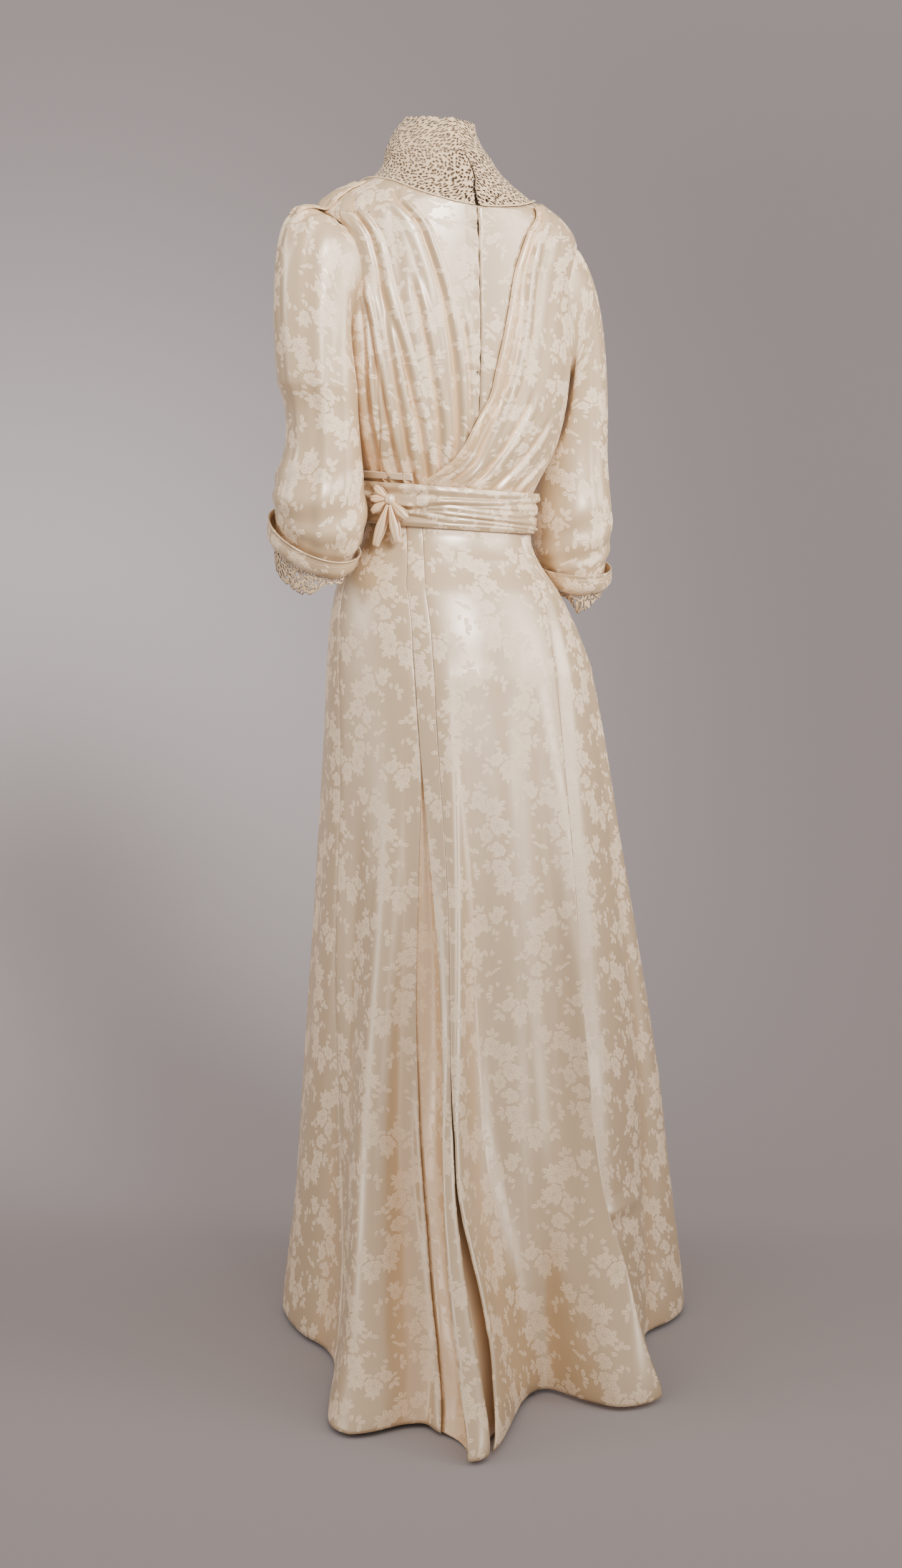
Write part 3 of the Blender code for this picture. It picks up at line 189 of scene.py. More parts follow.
# %% Lights
LAMP_COLUMNS = ("name", "to_right", "behind_camera", "high", "size", "watts", "aim_high", "spread")
LAMPS = (
    ("key_lamp", 0.95, 1.75, 0.95, 1.3, 9.5, 0.04, 29.0),
    ("left_lamp", -2.3, 0.2, 0.35, 1.5, 2.6, -0.45, 36.0),
    ("right_lamp", 2.4, 0.5, 0.45, 1.5, 5.5, -0.35, 44.0),
)
SKY_COLOR = (1.0, 0.95, 0.90, 1.0)
SKY_STRENGTH = 1.12


def add_lamp(name, across, back, high, size, watts, aim_high, spread):
    """A soft box whose grid keeps its light within the spread, in degrees."""
    lamp_data = bpy.data.lights.new(name, "AREA")
    lamp_data.spread = math.radians(spread)
    lamp_data.size = size
    lamp_data.energy = watts
    lamp = bpy.data.objects.new(name, lamp_data)
    bpy.context.scene.collection.objects.link(lamp)
    place = to_right * across - level_ahead * back + Vector((0, 0, high))
    facing = (Vector((0, 0, aim_high)) - place).to_track_quat("-Z", "Y")
    lamp.matrix_world = Matrix.Translation(place) @ facing.to_matrix().to_4x4()


for lamp_row in LAMPS:
    add_lamp(*lamp_row)
world = bpy.data.worlds.new("studio")
world.use_nodes = True
world.node_tree.nodes["Background"].inputs["Color"].default_value = SKY_COLOR
world.node_tree.nodes["Background"].inputs["Strength"].default_value = SKY_STRENGTH
bpy.context.scene.world = world
describe(LAMP_COLUMNS, lamps=LAMPS)

# %% [markdown]
# ## The form under the cloth
#
# All the pieces lie on one form: a stack of ovals for the body, and another for the skirt. Two short
# tables give the ovals. A smooth curve through the rows gives every height between them, so a shell
# can be as fine as it likes. The solids of the frame were made from the same ovals.

# %% Reading the tables
def between(rows, place):
    """Read every column of a table at a place between its rows, along a smooth curve."""
    rows = np.asarray(rows, float)
    last = len(rows) - 1
    place = np.clip(np.asarray(place, float), 0.0, last)
    low = np.minimum(place.astype(int), last - 1)
    part = (place - low)[..., None]
    before = rows[np.maximum(low - 1, 0)]
    start = rows[low]
    end = rows[low + 1]
    after = rows[np.minimum(low + 2, last)]
    slope_start = (end - before) / 2
    slope_end = (after - start) / 2
    square = part * part
    cube = square * part
    value = start * (2 * cube - 3 * square + 1) + slope_start * (cube - 2 * square + part)
    value = value + end * (3 * square - 2 * cube) + slope_end * (cube - square)
    return np.moveaxis(value, -1, 0)


def row_at(rows, value):
    """The place in a table whose first column has this value, by straight steps."""
    first = np.asarray(rows, float)[:, 0]
    return np.interp(value, first, np.arange(len(first)))


def edge_angle(rows, height):
    """The angle of a seam or fold at a height."""
    return between(rows, row_at(rows, height))[1]


def wrapped(angle):
    """The same angle between -180 and 180 degrees."""
    return (np.asarray(angle, float) + 180.0) % 360.0 - 180.0


def ease(value):
    """Rise smoothly from 0 to 1."""
    value = np.clip(value, 0.0, 1.0)
    return value * value * (3 - 2 * value)


def hump(distance):
    """A soft ridge of height 1 that is gone at a distance of 1."""
    distance = np.clip(np.abs(distance), 0.0, 1.0)
    return (1 - distance * distance) ** 2


# %% Ovals of the body
MOUNT_HEIGHT = 1.395
WAIST_HEIGHT = 1.0388
HIP_HEIGHT = 0.80
TILT = 0.09
BODY_COLUMNS = ("height", "middle_x", "middle_y", "half_width", "back", "front")
BODY = (
    (1.0388, 0, 0, 0.108, 0.084, 0.082),
    (1.062, 0, 0, 0.120, 0.089, 0.096),
    (1.100, 0, 0, 0.141, 0.096, 0.116),
    (1.155, 0, 0, 0.156, 0.101, 0.130),
    (1.220, 0, 0, 0.163, 0.103, 0.132),
    (1.280, 0, 0, 0.166, 0.101, 0.120),
    (1.330, 0, 0, 0.170, 0.098, 0.100),
    (1.360, 0, 0, 0.168, 0.095, 0.084),
    (1.380, 0, 0, 0.152, 0.092, 0.072),
    (1.397, 0.001, 0.000, 0.122, 0.088, 0.062),
    (1.412, 0.002, 0.001, 0.094, 0.080, 0.055),
    (1.428, 0.006, 0.001, 0.076, 0.070, 0.056),
    (1.448, 0.009, -0.004, 0.0655, 0.060, 0.056),
    (1.470, 0.008, -0.014, 0.0535, 0.052, 0.050),
    (1.490, 0.003, -0.016, 0.0435, 0.044, 0.043),
)
describe(BODY_COLUMNS, body=BODY)


def leaned(x, y, height):
    """Lean the upper body so that its right side is lower, and measure heights from the mount."""
    share = ease((height - HIP_HEIGHT) / (WAIST_HEIGHT - HIP_HEIGHT))
    return np.stack([x, y, height + TILT * x * share - MOUNT_HEIGHT], -1)


def body(angle, place):
    """A point of the body at an angle in degrees round it and a place in the body table."""
    height, middle_x, middle_y, half_width, back, front = between(BODY, place)
    turn = np.radians(angle)
    depth = np.where(np.sin(turn) > 0, back, front)
    x = middle_x + half_width * np.cos(turn)
    y = middle_y + depth * np.sin(turn)
    return leaned(x, y, height)


# %% [markdown]
# ## The skirt's form
#
# The skirt hugs the hips, then widens, and its back runs out into a short train. Its ovals have a left
# and a right reach of their own. At the hem the cloth stands in flutes, which come from a table and
# fade away upward. Seams are short tables of angles, so a gore is what lies between two of them.

# %% Ovals and flutes of the skirt
SKIRT_COLUMNS = ("height", "left", "right", "back", "front")
SKIRT = (
    (0.001, 0.198, 0.260, 0.440, 0.180),
    (0.080, 0.193, 0.259, 0.395, 0.179),
    (0.180, 0.187, 0.256, 0.344, 0.177),
    (0.290, 0.181, 0.254, 0.296, 0.175),
    (0.400, 0.175, 0.247, 0.252, 0.171),
    (0.500, 0.168, 0.237, 0.222, 0.165),
    (0.600, 0.162, 0.223, 0.197, 0.157),
    (0.700, 0.158, 0.209, 0.175, 0.147),
    (0.815, 0.155, 0.190, 0.153, 0.131),
    (0.870, 0.151, 0.168, 0.139, 0.121),
    (0.915, 0.142, 0.145, 0.122, 0.109),
    (0.955, 0.122, 0.119, 0.100, 0.096),
    (0.980, 0.111, 0.110, 0.088, 0.088),
    (1.0376, 0.108, 0.108, 0.084, 0.082),
)
HEM_COLUMNS = ("angle", "out")
HEM = (
    (-180, 0.000), (-160, 0.012), (-140, -0.006), (-118, 0.012), (-95, -0.004), (-72, 0.010),
    (-50, -0.006), (-28, -0.002), (-8, 0.014), (4, 0.038), (13, 0.043), (20, 0.034), (27, 0.039),
    (35, 0.062), (44, 0.093), (51, 0.112), (57, 0.108), (60, 0.088), (63, 0.056), (67, 0.041),
    (71, 0.045), (76, 0.060), (81, 0.088), (85, 0.112), (88, 0.120), (90, 0.100), (92, 0.030),
    (94, -0.010), (98, -0.034), (103, -0.038), (106, -0.020), (109, 0.036), (112, 0.088),
    (116, 0.114), (120, 0.112), (125, 0.076), (131, 0.026), (137, -0.002), (142, -0.004),
    (147, 0.020), (152, 0.034), (158, 0.032), (168, 0.010), (180, 0.000),
)
HEM_RIDGE = 89.5
SLANT_MOST = 22.0
SLANT_BEFORE = 60.0
SLANT_AFTER = 45.0
FLUTE_START = 0.86
FLUTE_POWER = 1.7
TRAIN_SWING = 0.62
SWING_START = 0.80
SIDE_FLAT_TO = 136.5
EDGE_COLUMNS = ("height", "angle")
LEFT_SEAM = ((0.00, 30), (0.27, 21), (0.53, 13), (0.72, 10), (0.92, 3), (1.04, 0))
PLEAT_FOLD = ((0.00, 74), (0.105, 62), (0.20, 56), (0.30, 51.8), (0.43, 50), (0.58, 50.8), (0.72, 53.3))
STRIP_EDGE = (
    (0.00, 86.3), (0.065, 79.6), (0.125, 73.6), (0.19, 69), (0.24, 66.4), (0.31, 63.8),
    (0.37, 62.4), (0.47, 60), (0.58, 56.5), (0.72, 53.3), (0.88, 51.4), (0.92, 48.5), (1.04, 39),
)
STRIP_SEAM = (
    (0.00, 89.5), (0.065, 83.8), (0.125, 77.8), (0.19, 72.6), (0.24, 69.4), (0.31, 67),
    (0.37, 65.6), (0.51, 64), (0.72, 61.4), (0.88, 60.5), (1.00, 54.3), (1.04, 52),
)
GORE_FOLD = (
    (0.00, 118.8), (0.05, 115.2), (0.093, 112.8), (0.137, 111.2), (0.18, 109.6), (0.22, 109),
    (0.32, 109), (0.50, 110.2), (0.67, 113.5), (0.80, 117.5), (0.87, 121.5), (0.95, 131),
    (1.04, 135),
)
describe(SKIRT_COLUMNS, skirt=SKIRT)
describe(HEM_COLUMNS, hem=HEM)
describe(EDGE_COLUMNS, left_seam=LEFT_SEAM, pleat_fold=PLEAT_FOLD, strip_edge=STRIP_EDGE,
         strip_seam=STRIP_SEAM, gore_fold=GORE_FOLD)


def hem_out(angle, height):
    """How far the cloth stands out at an angle. The flutes lean along with the back strip's seam."""
    slant = np.minimum(HEM_RIDGE - edge_angle(STRIP_SEAM, height), SLANT_MOST)
    turned = wrapped(angle)
    past = turned - HEM_RIDGE + slant
    turned = turned + slant * hump(past / np.where(past > 0, SLANT_AFTER, SLANT_BEFORE))
    return between(HEM, row_at(HEM, turned))[1]


def skirt_shape(angle, height, out):
    """A point of the skirt with its train and swing, and with flutes that stand out at the hem."""
    _, left, right, back, front = between(SKIRT, row_at(SKIRT, height))
    turn = np.radians(angle)
    width = np.where(np.cos(turn) > 0, left, right)
    depth = np.where(np.sin(turn) > 0, back, front)
    growth = np.clip(1 - height / FLUTE_START, 0, 1) ** FLUTE_POWER
    steep_x = np.cos(turn) / width
    steep_y = np.sin(turn) / depth
    length = np.hypot(steep_x, steep_y)
    across = width * np.cos(turn) + out * growth * steep_x / length
    along = depth * np.sin(turn) + out * growth * steep_y / length
    swing = TRAIN_SWING * np.clip(1 - height / SWING_START, 0, 1) ** 1.5
    across = across + swing * np.clip(along, 0, None) ** 2
    return leaned(across, along, height)


def skirt(angle, height):
    """The skirt's own surface."""
    return skirt_shape(angle, height, hem_out(angle, height))


def side_skirt(angle, height):
    """The right side gore, which goes on behind the fold of the back gore without its flute."""
    out = hem_out(angle, height)
    return skirt_shape(angle, height, np.where(np.asarray(angle) < SIDE_FLAT_TO, 0.0, out))


# %% Moving a surface outward
BODY_STEPS = (0.4, 0.02)
SKIRT_STEPS = (0.4, 0.004)
ARM_STEPS = (0.05, 0.15)
CAP_STEPS = (0.001, 0.001)


def normal(surface, first, second, steps):
    """The outward normal, from the surface a little to each side."""
    first_step, second_step = steps
    along_first = surface(first + first_step, second) - surface(first - first_step, second)
    along_second = surface(first, second + second_step) - surface(first, second - second_step)
    across = np.cross(along_first, along_second)
    return across / np.linalg.norm(across, axis=-1, keepdims=True)


def moved_out(surface, out, steps):
    """A surface whose points are moved along its normal by lengths, or by what a function gives."""
    def place(first, second):
        far = out(first, second) if callable(out) else np.broadcast_to(out, np.shape(first))
        return surface(first, second) + normal(surface, first, second, steps) * far[..., None]
    return place


# %% [markdown]
# ## How a piece of cloth is made
#
# A cut piece of cloth is a grid: its threads run across and up. So each shell starts as a flat grid
# with its own map, and a shape function says where each crossing of threads goes. The map is then
# measured on the placed cloth, in metres, so that woven roses have one size on every piece, wide or
# narrow. Folds are moved out along the normals. Where a fold sinks, the shell remembers how deep, and
# the material paints the silk peach there as painted shade. A Solidify modifier gives the sheet its
# thickness.

# %% The cloth maker
SHELL_THICK = 0.0013
FOLD_WINDOW = 0.011
FOLD_DEPTH = 0.0022
NARROWEST_CUT = 0.0101
LEAST_COVER = 0.31


def grid_normals(points):
    across = np.gradient(points, axis=1)
    upward = np.gradient(points, axis=0)
    facing = np.cross(across, upward)
    return facing / np.maximum(np.linalg.norm(facing, axis=-1, keepdims=True), 1e-12)


def cloth_map(points, closed):
    """Metres across from the grain line and up from the lowest row, measured on the cloth."""
    steps = np.linalg.norm(np.diff(points, axis=1), axis=-1)
    x = np.concatenate([np.zeros((len(points), 1)), np.cumsum(steps, axis=1)], axis=1)
    grain = 0 if closed else points.shape[1] // 2
    x = x - x[:, grain:grain + 1]
    rise = np.linalg.norm(np.diff(points[:, grain], axis=0), axis=-1)
    y = np.concatenate([[0.0], np.cumsum(rise)])[:, None] * np.ones_like(x)
    return x, y


def sunk(points, facing, x, closed):
    """How deep each point lies under its neighbours to the left and right, from 0 to 1."""
    step = max(float(np.mean(np.abs(np.diff(x, axis=1)))), 1e-5)
    reach = min(max(int(FOLD_WINDOW / step), 1), points.shape[1] // 2 - 1)
    sides = {"mode": "wrap"} if closed else {"mode": "reflect", "reflect_type": "odd"}
    columns = points[:, :-1] if closed else points
    wider = np.pad(columns, ((0, 0), (reach, reach + closed), (0, 0)), **sides)
    total = sum(wider[:, shift:shift + points.shape[1]] for shift in range(2 * reach + 1))
    lower = np.einsum("ijk,ijk->ij", total / (2 * reach + 1) - points, facing)
    return np.clip(lower / FOLD_DEPTH, 0, 1)


def cloth(name, shape, across, up, finish, nodes=(), relief=None, thick=SHELL_THICK, closed=False,
          sheet=True, outward=1, warm=1.0, painted_light_and_shade=None):
    """A shell of cloth: shape places the grid, and relief moves it out in folds.

    A tube is welded, and its map is cut opposite its first column, where the real seam lies.
    """
    mesh = bmesh.new()
    layer = mesh.loops.layers.uv.new("cloth")
    fold = mesh.verts.layers.float.new("fold")
    made = bmesh.ops.create_grid(mesh, x_segments=across, y_segments=up, size=1.0, calc_uvs=True)
    flat = np.array([point.co[:2] for point in made["verts"]])
    column = np.rint((flat[:, 0] + 1) / 2 * across).astype(int)
    row = np.rint((flat[:, 1] + 1) / 2 * up).astype(int)
    v, u = np.meshgrid(np.linspace(0, 1, up + 1), np.linspace(0, 1, across + 1), indexing="ij")
    points = shape(u, v)
    x, y = cloth_map(points, closed)
    if relief is not None:
        points = points + grid_normals(points) * (relief(x, y, u, v) * outward)[..., None]
    # Painted shade: how deep each point lies in a fold, scaled by the piece, and any painted light and shade
    # mask that the piece gives, are stored for the material to tint the silk peach.
    depth = sunk(points, grid_normals(points) * outward, x, closed) * warm
    if painted_light_and_shade is not None:
        depth = np.maximum(depth, painted_light_and_shade(x, y, u, v))
    around = x.max(axis=1) - x.min(axis=1)
    number_of = {}
    for number, point in enumerate(made["verts"]):
        point.co = points[row[number], column[number]]
        point[fold] = float(depth[row[number], column[number]])
        number_of[point] = number
    for face in mesh.faces:
        beyond = closed and min(column[number_of[point]] for point in face.verts) >= across // 2
        for loop in face.loops:
            number = number_of[loop.vert]
            level = row[number]
            at = level, column[number]
            loop[layer].uv = (x[at] - around[level] * beyond, y[at])
    if closed:
        first = {row[number]: point for number, point in enumerate(made["verts"]) if column[number] == 0}
        targets = {point: first[row[number]] for number, point in enumerate(made["verts"])
                   if column[number] == across}
        bmesh.ops.weld_verts(mesh, targetmap=targets)
    if outward < 0:
        bmesh.ops.reverse_faces(mesh, faces=mesh.faces)
    return dress(name, mesh, finish, nodes, thick, sheet, (x, y))


def dress(name, mesh, finish, nodes, thick, sheet, measured=None):
    """Make the mesh an object with its material, thickness and place in the frame."""
    data = bpy.data.meshes.new(name)
    mesh.to_mesh(data)
    mesh.free()
    data.shade_smooth()
    piece = bpy.data.objects.new(name, data)
    bpy.context.scene.collection.objects.link(piece)
    data.materials.append(finish)
    if thick:
        wall = piece.modifiers.new("thickness", "SOLIDIFY")
        wall.thickness = thick
        wall.offset = 0.0
    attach(piece, "root")
    if nodes:
        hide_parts(*nodes)
    if sheet:
        x, y = measured
        width = max(float((x.max(axis=1) - x.min(axis=1)).max()), NARROWEST_CUT)
        length = max(float(y.max() - y.min()), NARROWEST_CUT)
        area = min(sum(face.area for face in data.polygons), width * length)
        area = max(area, LEAST_COVER * width * length)
    print(name, "has", len(data.polygons), "faces")
    return piece


# %% [markdown]
# ## Silk damask
#
# Damask shows its pattern by weave alone. The ground is satin, whose long floating threads shine and
# look dark where no light meets them. The roses are woven dull, so they stay an even cream. The
# pattern is worked out from the map of each piece, in millimetres: garlands of roses in the shape of
# a C stand in rows, and every second one is turned over. Each point finds the nearest garland, then
# the nearest of its roses, so one rose and a few leaves are enough for the whole gown.

# %% Node helpers
tree = None


def new_group(name, inputs, outputs):
    """Open a node group. The helpers below write into the tree that was opened last."""
    global tree
    tree = bpy.data.node_groups.new(name, "ShaderNodeTree")
    for label, kind in inputs:
        tree.interface.new_socket(label, in_out="INPUT", socket_type=kind)
    for label, kind in outputs:
        tree.interface.new_socket(label, in_out="OUTPUT", socket_type=kind)
    return tree.nodes.new("NodeGroupInput"), tree.nodes.new("NodeGroupOutput")


def link(socket, target):
    tree.links.new(socket, target)


def feed(node, values, first=0):
    for number, value in enumerate(values, first):
        if isinstance(value, bpy.types.NodeSocket):
            link(value, node.inputs[number])
        elif value is not None:
            node.inputs[number].default_value = value


def calc(operation, *values):
    node = tree.nodes.new("ShaderNodeMath")
    node.operation = operation
    feed(node, values)
    return node.outputs[0]


def times(first, second):
    return calc("MULTIPLY", first, second)


def plus(first, second):
    return calc("ADD", first, second)


def minus(first, second):
    return calc("SUBTRACT", first, second)


def calc_vector(operation, *values):
    node = tree.nodes.new("ShaderNodeVectorMath")
    node.operation = operation
    feed(node, values)
    return node.outputs["Value" if operation == "LENGTH" else "Vector"]


def parts_of(vector):
    node = tree.nodes.new("ShaderNodeSeparateXYZ")
    link(vector, node.inputs[0])
    return node.outputs[0], node.outputs[1]


def joined(x, y):
    node = tree.nodes.new("ShaderNodeCombineXYZ")
    feed(node, (x, y, 0.0))
    return node.outputs[0]


def soft_step(value, start, end):
    node = tree.nodes.new("ShaderNodeMapRange")
    node.interpolation_type = "SMOOTHSTEP"
    feed(node, (value, start, end, 0.0, 1.0))
    return node.outputs[0]


def blend(share, first, second):
    node = tree.nodes.new("ShaderNodeMix")
    node.data_type = "RGBA"
    feed(node, (share,))
    feed(node, (first, second), 6)
    return node.outputs[2]


def noise(place, scale, detail=2.0):
    node = tree.nodes.new("ShaderNodeTexNoise")
    link(place, node.inputs["Vector"])
    node.inputs["Scale"].default_value = scale
    node.inputs["Detail"].default_value = detail
    return node


def shaken(place, scale, detail, reach):
    """A place moved aside by soft noise, half of the reach each way at most."""
    aside = calc_vector("SUBTRACT", noise(place, scale, detail).outputs["Color"], (0.5, 0.5, 0.5))
    shift = calc_vector("SCALE", aside)
    shift.node.inputs["Scale"].default_value = reach
    return calc_vector("ADD", place, shift)


def turned_by(x, y, turn):
    """A point's x and y, read along axes that are turned."""
    cos, sin = math.cos(turn), math.sin(turn)
    along = plus(times(x, cos), times(y, sin))
    across = minus(times(y, cos), times(x, sin))
    return along, across


# %% [markdown]
# ## The rose garland
#
# A garland is a bent row of roses with leaves. Each flower drawn alone would take hundreds of nodes, so
# every sector round its centre shows one rose, shaken first by noise, so that no two come out alike.

# %% One garland
CELL_WIDE = 92.0
CELL_HIGH = 149.0
SECOND_UP = 84.0
FIRST_TURN = math.radians(150.0)
SECOND_TURN = math.radians(225.0)
RING = 24.5
ROSES_ROUND = 8
ROSE = 8.1
ROSES_EACH_SIDE = 2
LEAVES_EACH_SIDE = 3
LEAF_COLUMNS = ("out", "round", "turn", "half_long", "half_wide")
LEAVES = (
    (14.0, 0.5, 0.1, 5.2, 2.6),
    (10.8, 5.8, 1.0, 4.8, 2.4),
    (11.2, -5.2, -1.1, 4.8, 2.4),
    (-10.5, 4.2, 2.5, 4.4, 2.2),
    (-11.5, -3.2, -2.7, 4.2, 2.1),
    (3.5, 9.6, 1.3, 4.6, 2.2),
)
LEAF_VEIN = 0.22
GARLAND_ASIDE = 3.0
GARLAND_SQUASH = 0.88
WOBBLE_COLUMNS = ("scale", "reach")
WOBBLES = ((0.045, 9.0), (0.32, 1.6))
SWAY_PERIOD = 2.3
SWAY = 3.4
ROSE_MIDDLE_SIZE = 1.20
ROSE_SHRINKS = 0.17
PETALS = 7.0
PETAL_DEEP = 1.7
PETAL_RING_COLUMNS = ("radius", "bend", "spin")
PETAL_RINGS = ((6.6, 0.9, 0.0), (4.0, 0.6, 1.1), (1.8, 0.2, 0.4))
SPOKES_FROM = 6.4
SPOKE_FINE = 0.4
PETAL_LINE = 0.20
HEART = 2.6
SOFT_EDGE = (-0.2, 0.3)
describe(LEAF_COLUMNS, leaves=LEAVES)
describe(WOBBLE_COLUMNS, wobbles=WOBBLES)
describe(PETAL_RING_COLUMNS, petal_rings=PETAL_RINGS)


def leaf_shape(x, y, leaf):
    """How far a point is inside a pointed leaf, in millimetres, with a line down its middle."""
    out, round_off, turn, half_long, half_wide = leaf
    away = minus(x, RING + out)
    aside = minus(y, round_off)
    along, across = turned_by(away, aside, turn)
    radius = (half_long ** 2 + half_wide ** 2) / (2 * half_wide)
    width = calc("ABSOLUTE", across)
    place = joined(along, plus(width, radius - half_wide))
    inside = minus(radius, calc_vector("LENGTH", place))
    return calc("MINIMUM", inside, minus(width, LEAF_VEIN))


def turned(whole, cell, turn):
    """A garland's own x and y: turned as it was drawn, and mirrored in every other row."""
    row = calc("ROUND", calc("DIVIDE", parts_of(whole)[1], CELL_HIGH))
    odd = calc("FLOORED_MODULO", row, 2.0)
    mirror = minus(1.0, times(odd, 2.0))
    x, y = parts_of(cell)
    return turned_by(times(x, mirror), y, turn)


def garland_group():
    given, taken = new_group("rose_garland", [("Place", "NodeSocketVector")],
                             [("Figure", "NodeSocketFloat"), ("Line", "NodeSocketFloat")])
    half = (CELL_WIDE / 2, CELL_HIGH / 2, 1.0)
    place = given.outputs["Place"]
    first = calc_vector("WRAP", place, half, tuple(-value for value in half))
    moved = calc_vector("SUBTRACT", place, (half[0], SECOND_UP, 0.0))
    second = calc_vector("WRAP", moved, half, tuple(-value for value in half))
    nearer = calc("LESS_THAN", calc_vector("LENGTH", second), calc_vector("LENGTH", first))
    first_x, first_y = turned(place, first, FIRST_TURN)
    second_x, second_y = turned(moved, second, SECOND_TURN)
    further = minus(1.0, nearer)
    x = plus(times(first_x, further), times(second_x, nearer))
    y = plus(times(first_y, further), times(second_y, nearer))
    around = joined(plus(x, GARLAND_ASIDE), times(y, GARLAND_SQUASH))
    for scale, reach in WOBBLES:
        around = shaken(around, scale, 1.0, reach)
    x, y = parts_of(around)
    angle = calc("ARCTAN2", y, x)
    step = 2 * math.pi / ROSES_ROUND
    sector = calc("ROUND", calc("DIVIDE", angle, step))
    rest = minus(angle, times(sector, step))
    away = calc_vector("LENGTH", joined(x, y))
    here_x = times(away, calc("COSINE", rest))
    here_y = times(away, calc("SINE", rest))
    from_middle = calc("ABSOLUTE", sector)
    rose_here = calc("LESS_THAN", from_middle, ROSES_EACH_SIDE + 0.5)
    leaf_here = calc("LESS_THAN", from_middle, LEAVES_EACH_SIDE + 0.5)
    in_and_out = times(calc("SINE", times(sector, SWAY_PERIOD)), SWAY)
    rose_x = minus(here_x, plus(in_and_out, RING))
    radius = calc_vector("LENGTH", joined(rose_x, here_y))
    smaller = times(from_middle, ROSE_SHRINKS)
    radius = calc("DIVIDE", radius, minus(ROSE_MIDDLE_SIZE, smaller))
    turn = plus(calc("ARCTAN2", here_y, rose_x), sector)
    petals = calc("ABSOLUTE", calc("COSINE", times(turn, PETALS / 2)))
    edge = plus(times(petals, PETAL_DEEP), ROSE)
    rose = minus(edge, radius)
    lines = None
    for ring, bend, spin in PETAL_RINGS:
        wavy = calc("COSINE", plus(times(turn, PETALS), spin * 3))
        target = plus(times(wavy, bend), ring)
        line = calc("ABSOLUTE", minus(radius, target))
        lines = line if lines is None else calc("MINIMUM", lines, line)
    spokes = times(petals, radius)
    near = calc("LESS_THAN", radius, SPOKES_FROM)
    spokes = plus(spokes, times(near, 9.0))
    lines = calc("MINIMUM", lines, times(spokes, SPOKE_FINE))
    rose = calc("MINIMUM", rose, minus(lines, PETAL_LINE))
    rose = times(soft_step(rose, *SOFT_EDGE), rose_here)
    leaves = None
    for leaf in LEAVES:
        one = leaf_shape(here_x, here_y, leaf)
        leaves = one if leaves is None else calc("MAXIMUM", leaves, one)
    leaves = times(soft_step(leaves, *SOFT_EDGE), leaf_here)
    figure = calc("MAXIMUM", rose, leaves)
    inner = times(soft_step(minus(HEART, radius), 0.0, 0.6), rose_here)
    link(figure, taken.inputs["Figure"])
    link(inner, taken.inputs["Line"])
    return tree


ROSE_GARLAND = garland_group()
print("garland", len(ROSE_GARLAND.nodes), "nodes")

# %% [markdown]
# ## The silk's surface
#
# The ground is less rough than the figure and has a little metal in it. Threads add a fine grain, and
# deep folds are painted peach: painted shade, for the light that bounces between two walls of silk and
# takes on its colour.

# %% Silk surfaces
GROUND = (0.53, 0.365, 0.205, 1.0)
FIGURE = (0.82, 0.61, 0.40, 1.0)
PLAIN = (0.74, 0.53, 0.33, 1.0)
CLOUD = (0.80, 0.62, 0.42, 1.0)
THREAD_SHADE = (0.50, 0.36, 0.22, 1.0)
# The peach of the painted fold shade.
PAINTED_FOLD_SHADE = (0.80, 0.47, 0.215, 1.0)
THREADS = (0.25, 2.2, 1.0)
HEART_SHARE = 0.45
GROUND_ROUGHNESS = 0.33
FIGURE_ROUGHER = 0.26
GROUND_METAL = 0.12
FIGURE_HIGH = 0.7
THREAD_HIGH = 0.35
THREAD_TINT = 0.10
FOLD_SHADE_SHARE = 0.62
SHEEN = 0.06
SILK_IOR = 1.62
SILK_OUTPUTS = [("Color", "NodeSocketColor"), ("Roughness", "NodeSocketFloat"),
                ("Metallic", "NodeSocketFloat"), ("Height", "NodeSocketFloat")]


def silk_group(name, patterned, plain=PLAIN, cloud=CLOUD):
    """Colour, gloss and thread height of silk, woven with roses or plain, with painted shade in its folds."""
    given, taken = new_group(name, [("Place", "NodeSocketVector"), ("Fold", "NodeSocketFloat")],
                             SILK_OUTPUTS)
    place = given.outputs["Place"]
    threads = noise(calc_vector("MULTIPLY", place, THREADS), 1.0, 2.0).outputs["Fac"]
    cloudy = noise(place, 0.02, 2.0).outputs["Fac"]
    if patterned:
        pattern = tree.nodes.new("ShaderNodeGroup")
        pattern.node_tree = ROSE_GARLAND
        link(place, pattern.inputs["Place"])
        inner = times(pattern.outputs["Line"], HEART_SHARE)
        figure = times(pattern.outputs["Figure"], minus(1.0, inner))
        color = blend(figure, GROUND, FIGURE)
        rough = plus(times(figure, FIGURE_ROUGHER), GROUND_ROUGHNESS)
        metal = times(minus(1.0, figure), GROUND_METAL)
        raised = times(figure, FIGURE_HIGH)
        height = plus(raised, times(threads, THREAD_HIGH))
    else:
        color = blend(cloudy, plain, cloud)
        rough = plus(times(threads, 0.1), 0.38)
        metal = times(cloudy, GROUND_METAL)
        height = times(threads, 0.4)
    color = blend(times(threads, THREAD_TINT), color, THREAD_SHADE)
    # Painted shade: the depth in a fold tints the colour peach.
    color = blend(times(given.outputs["Fold"], FOLD_SHADE_SHARE), color, PAINTED_FOLD_SHADE)
    for (label, _), socket in zip(SILK_OUTPUTS, (color, rough, metal, height)):
        link(socket, taken.inputs[label])
    return tree


DAMASK = silk_group("silk_damask", True)
PLAIN_SILK = silk_group("silk_plain", False)


def new_material(name):
    """Open a material's own tree."""
    global tree
    material = bpy.data.materials.new(name)
    material.use_nodes = True
    tree = material.node_tree
    return material, tree.nodes["Principled BSDF"]


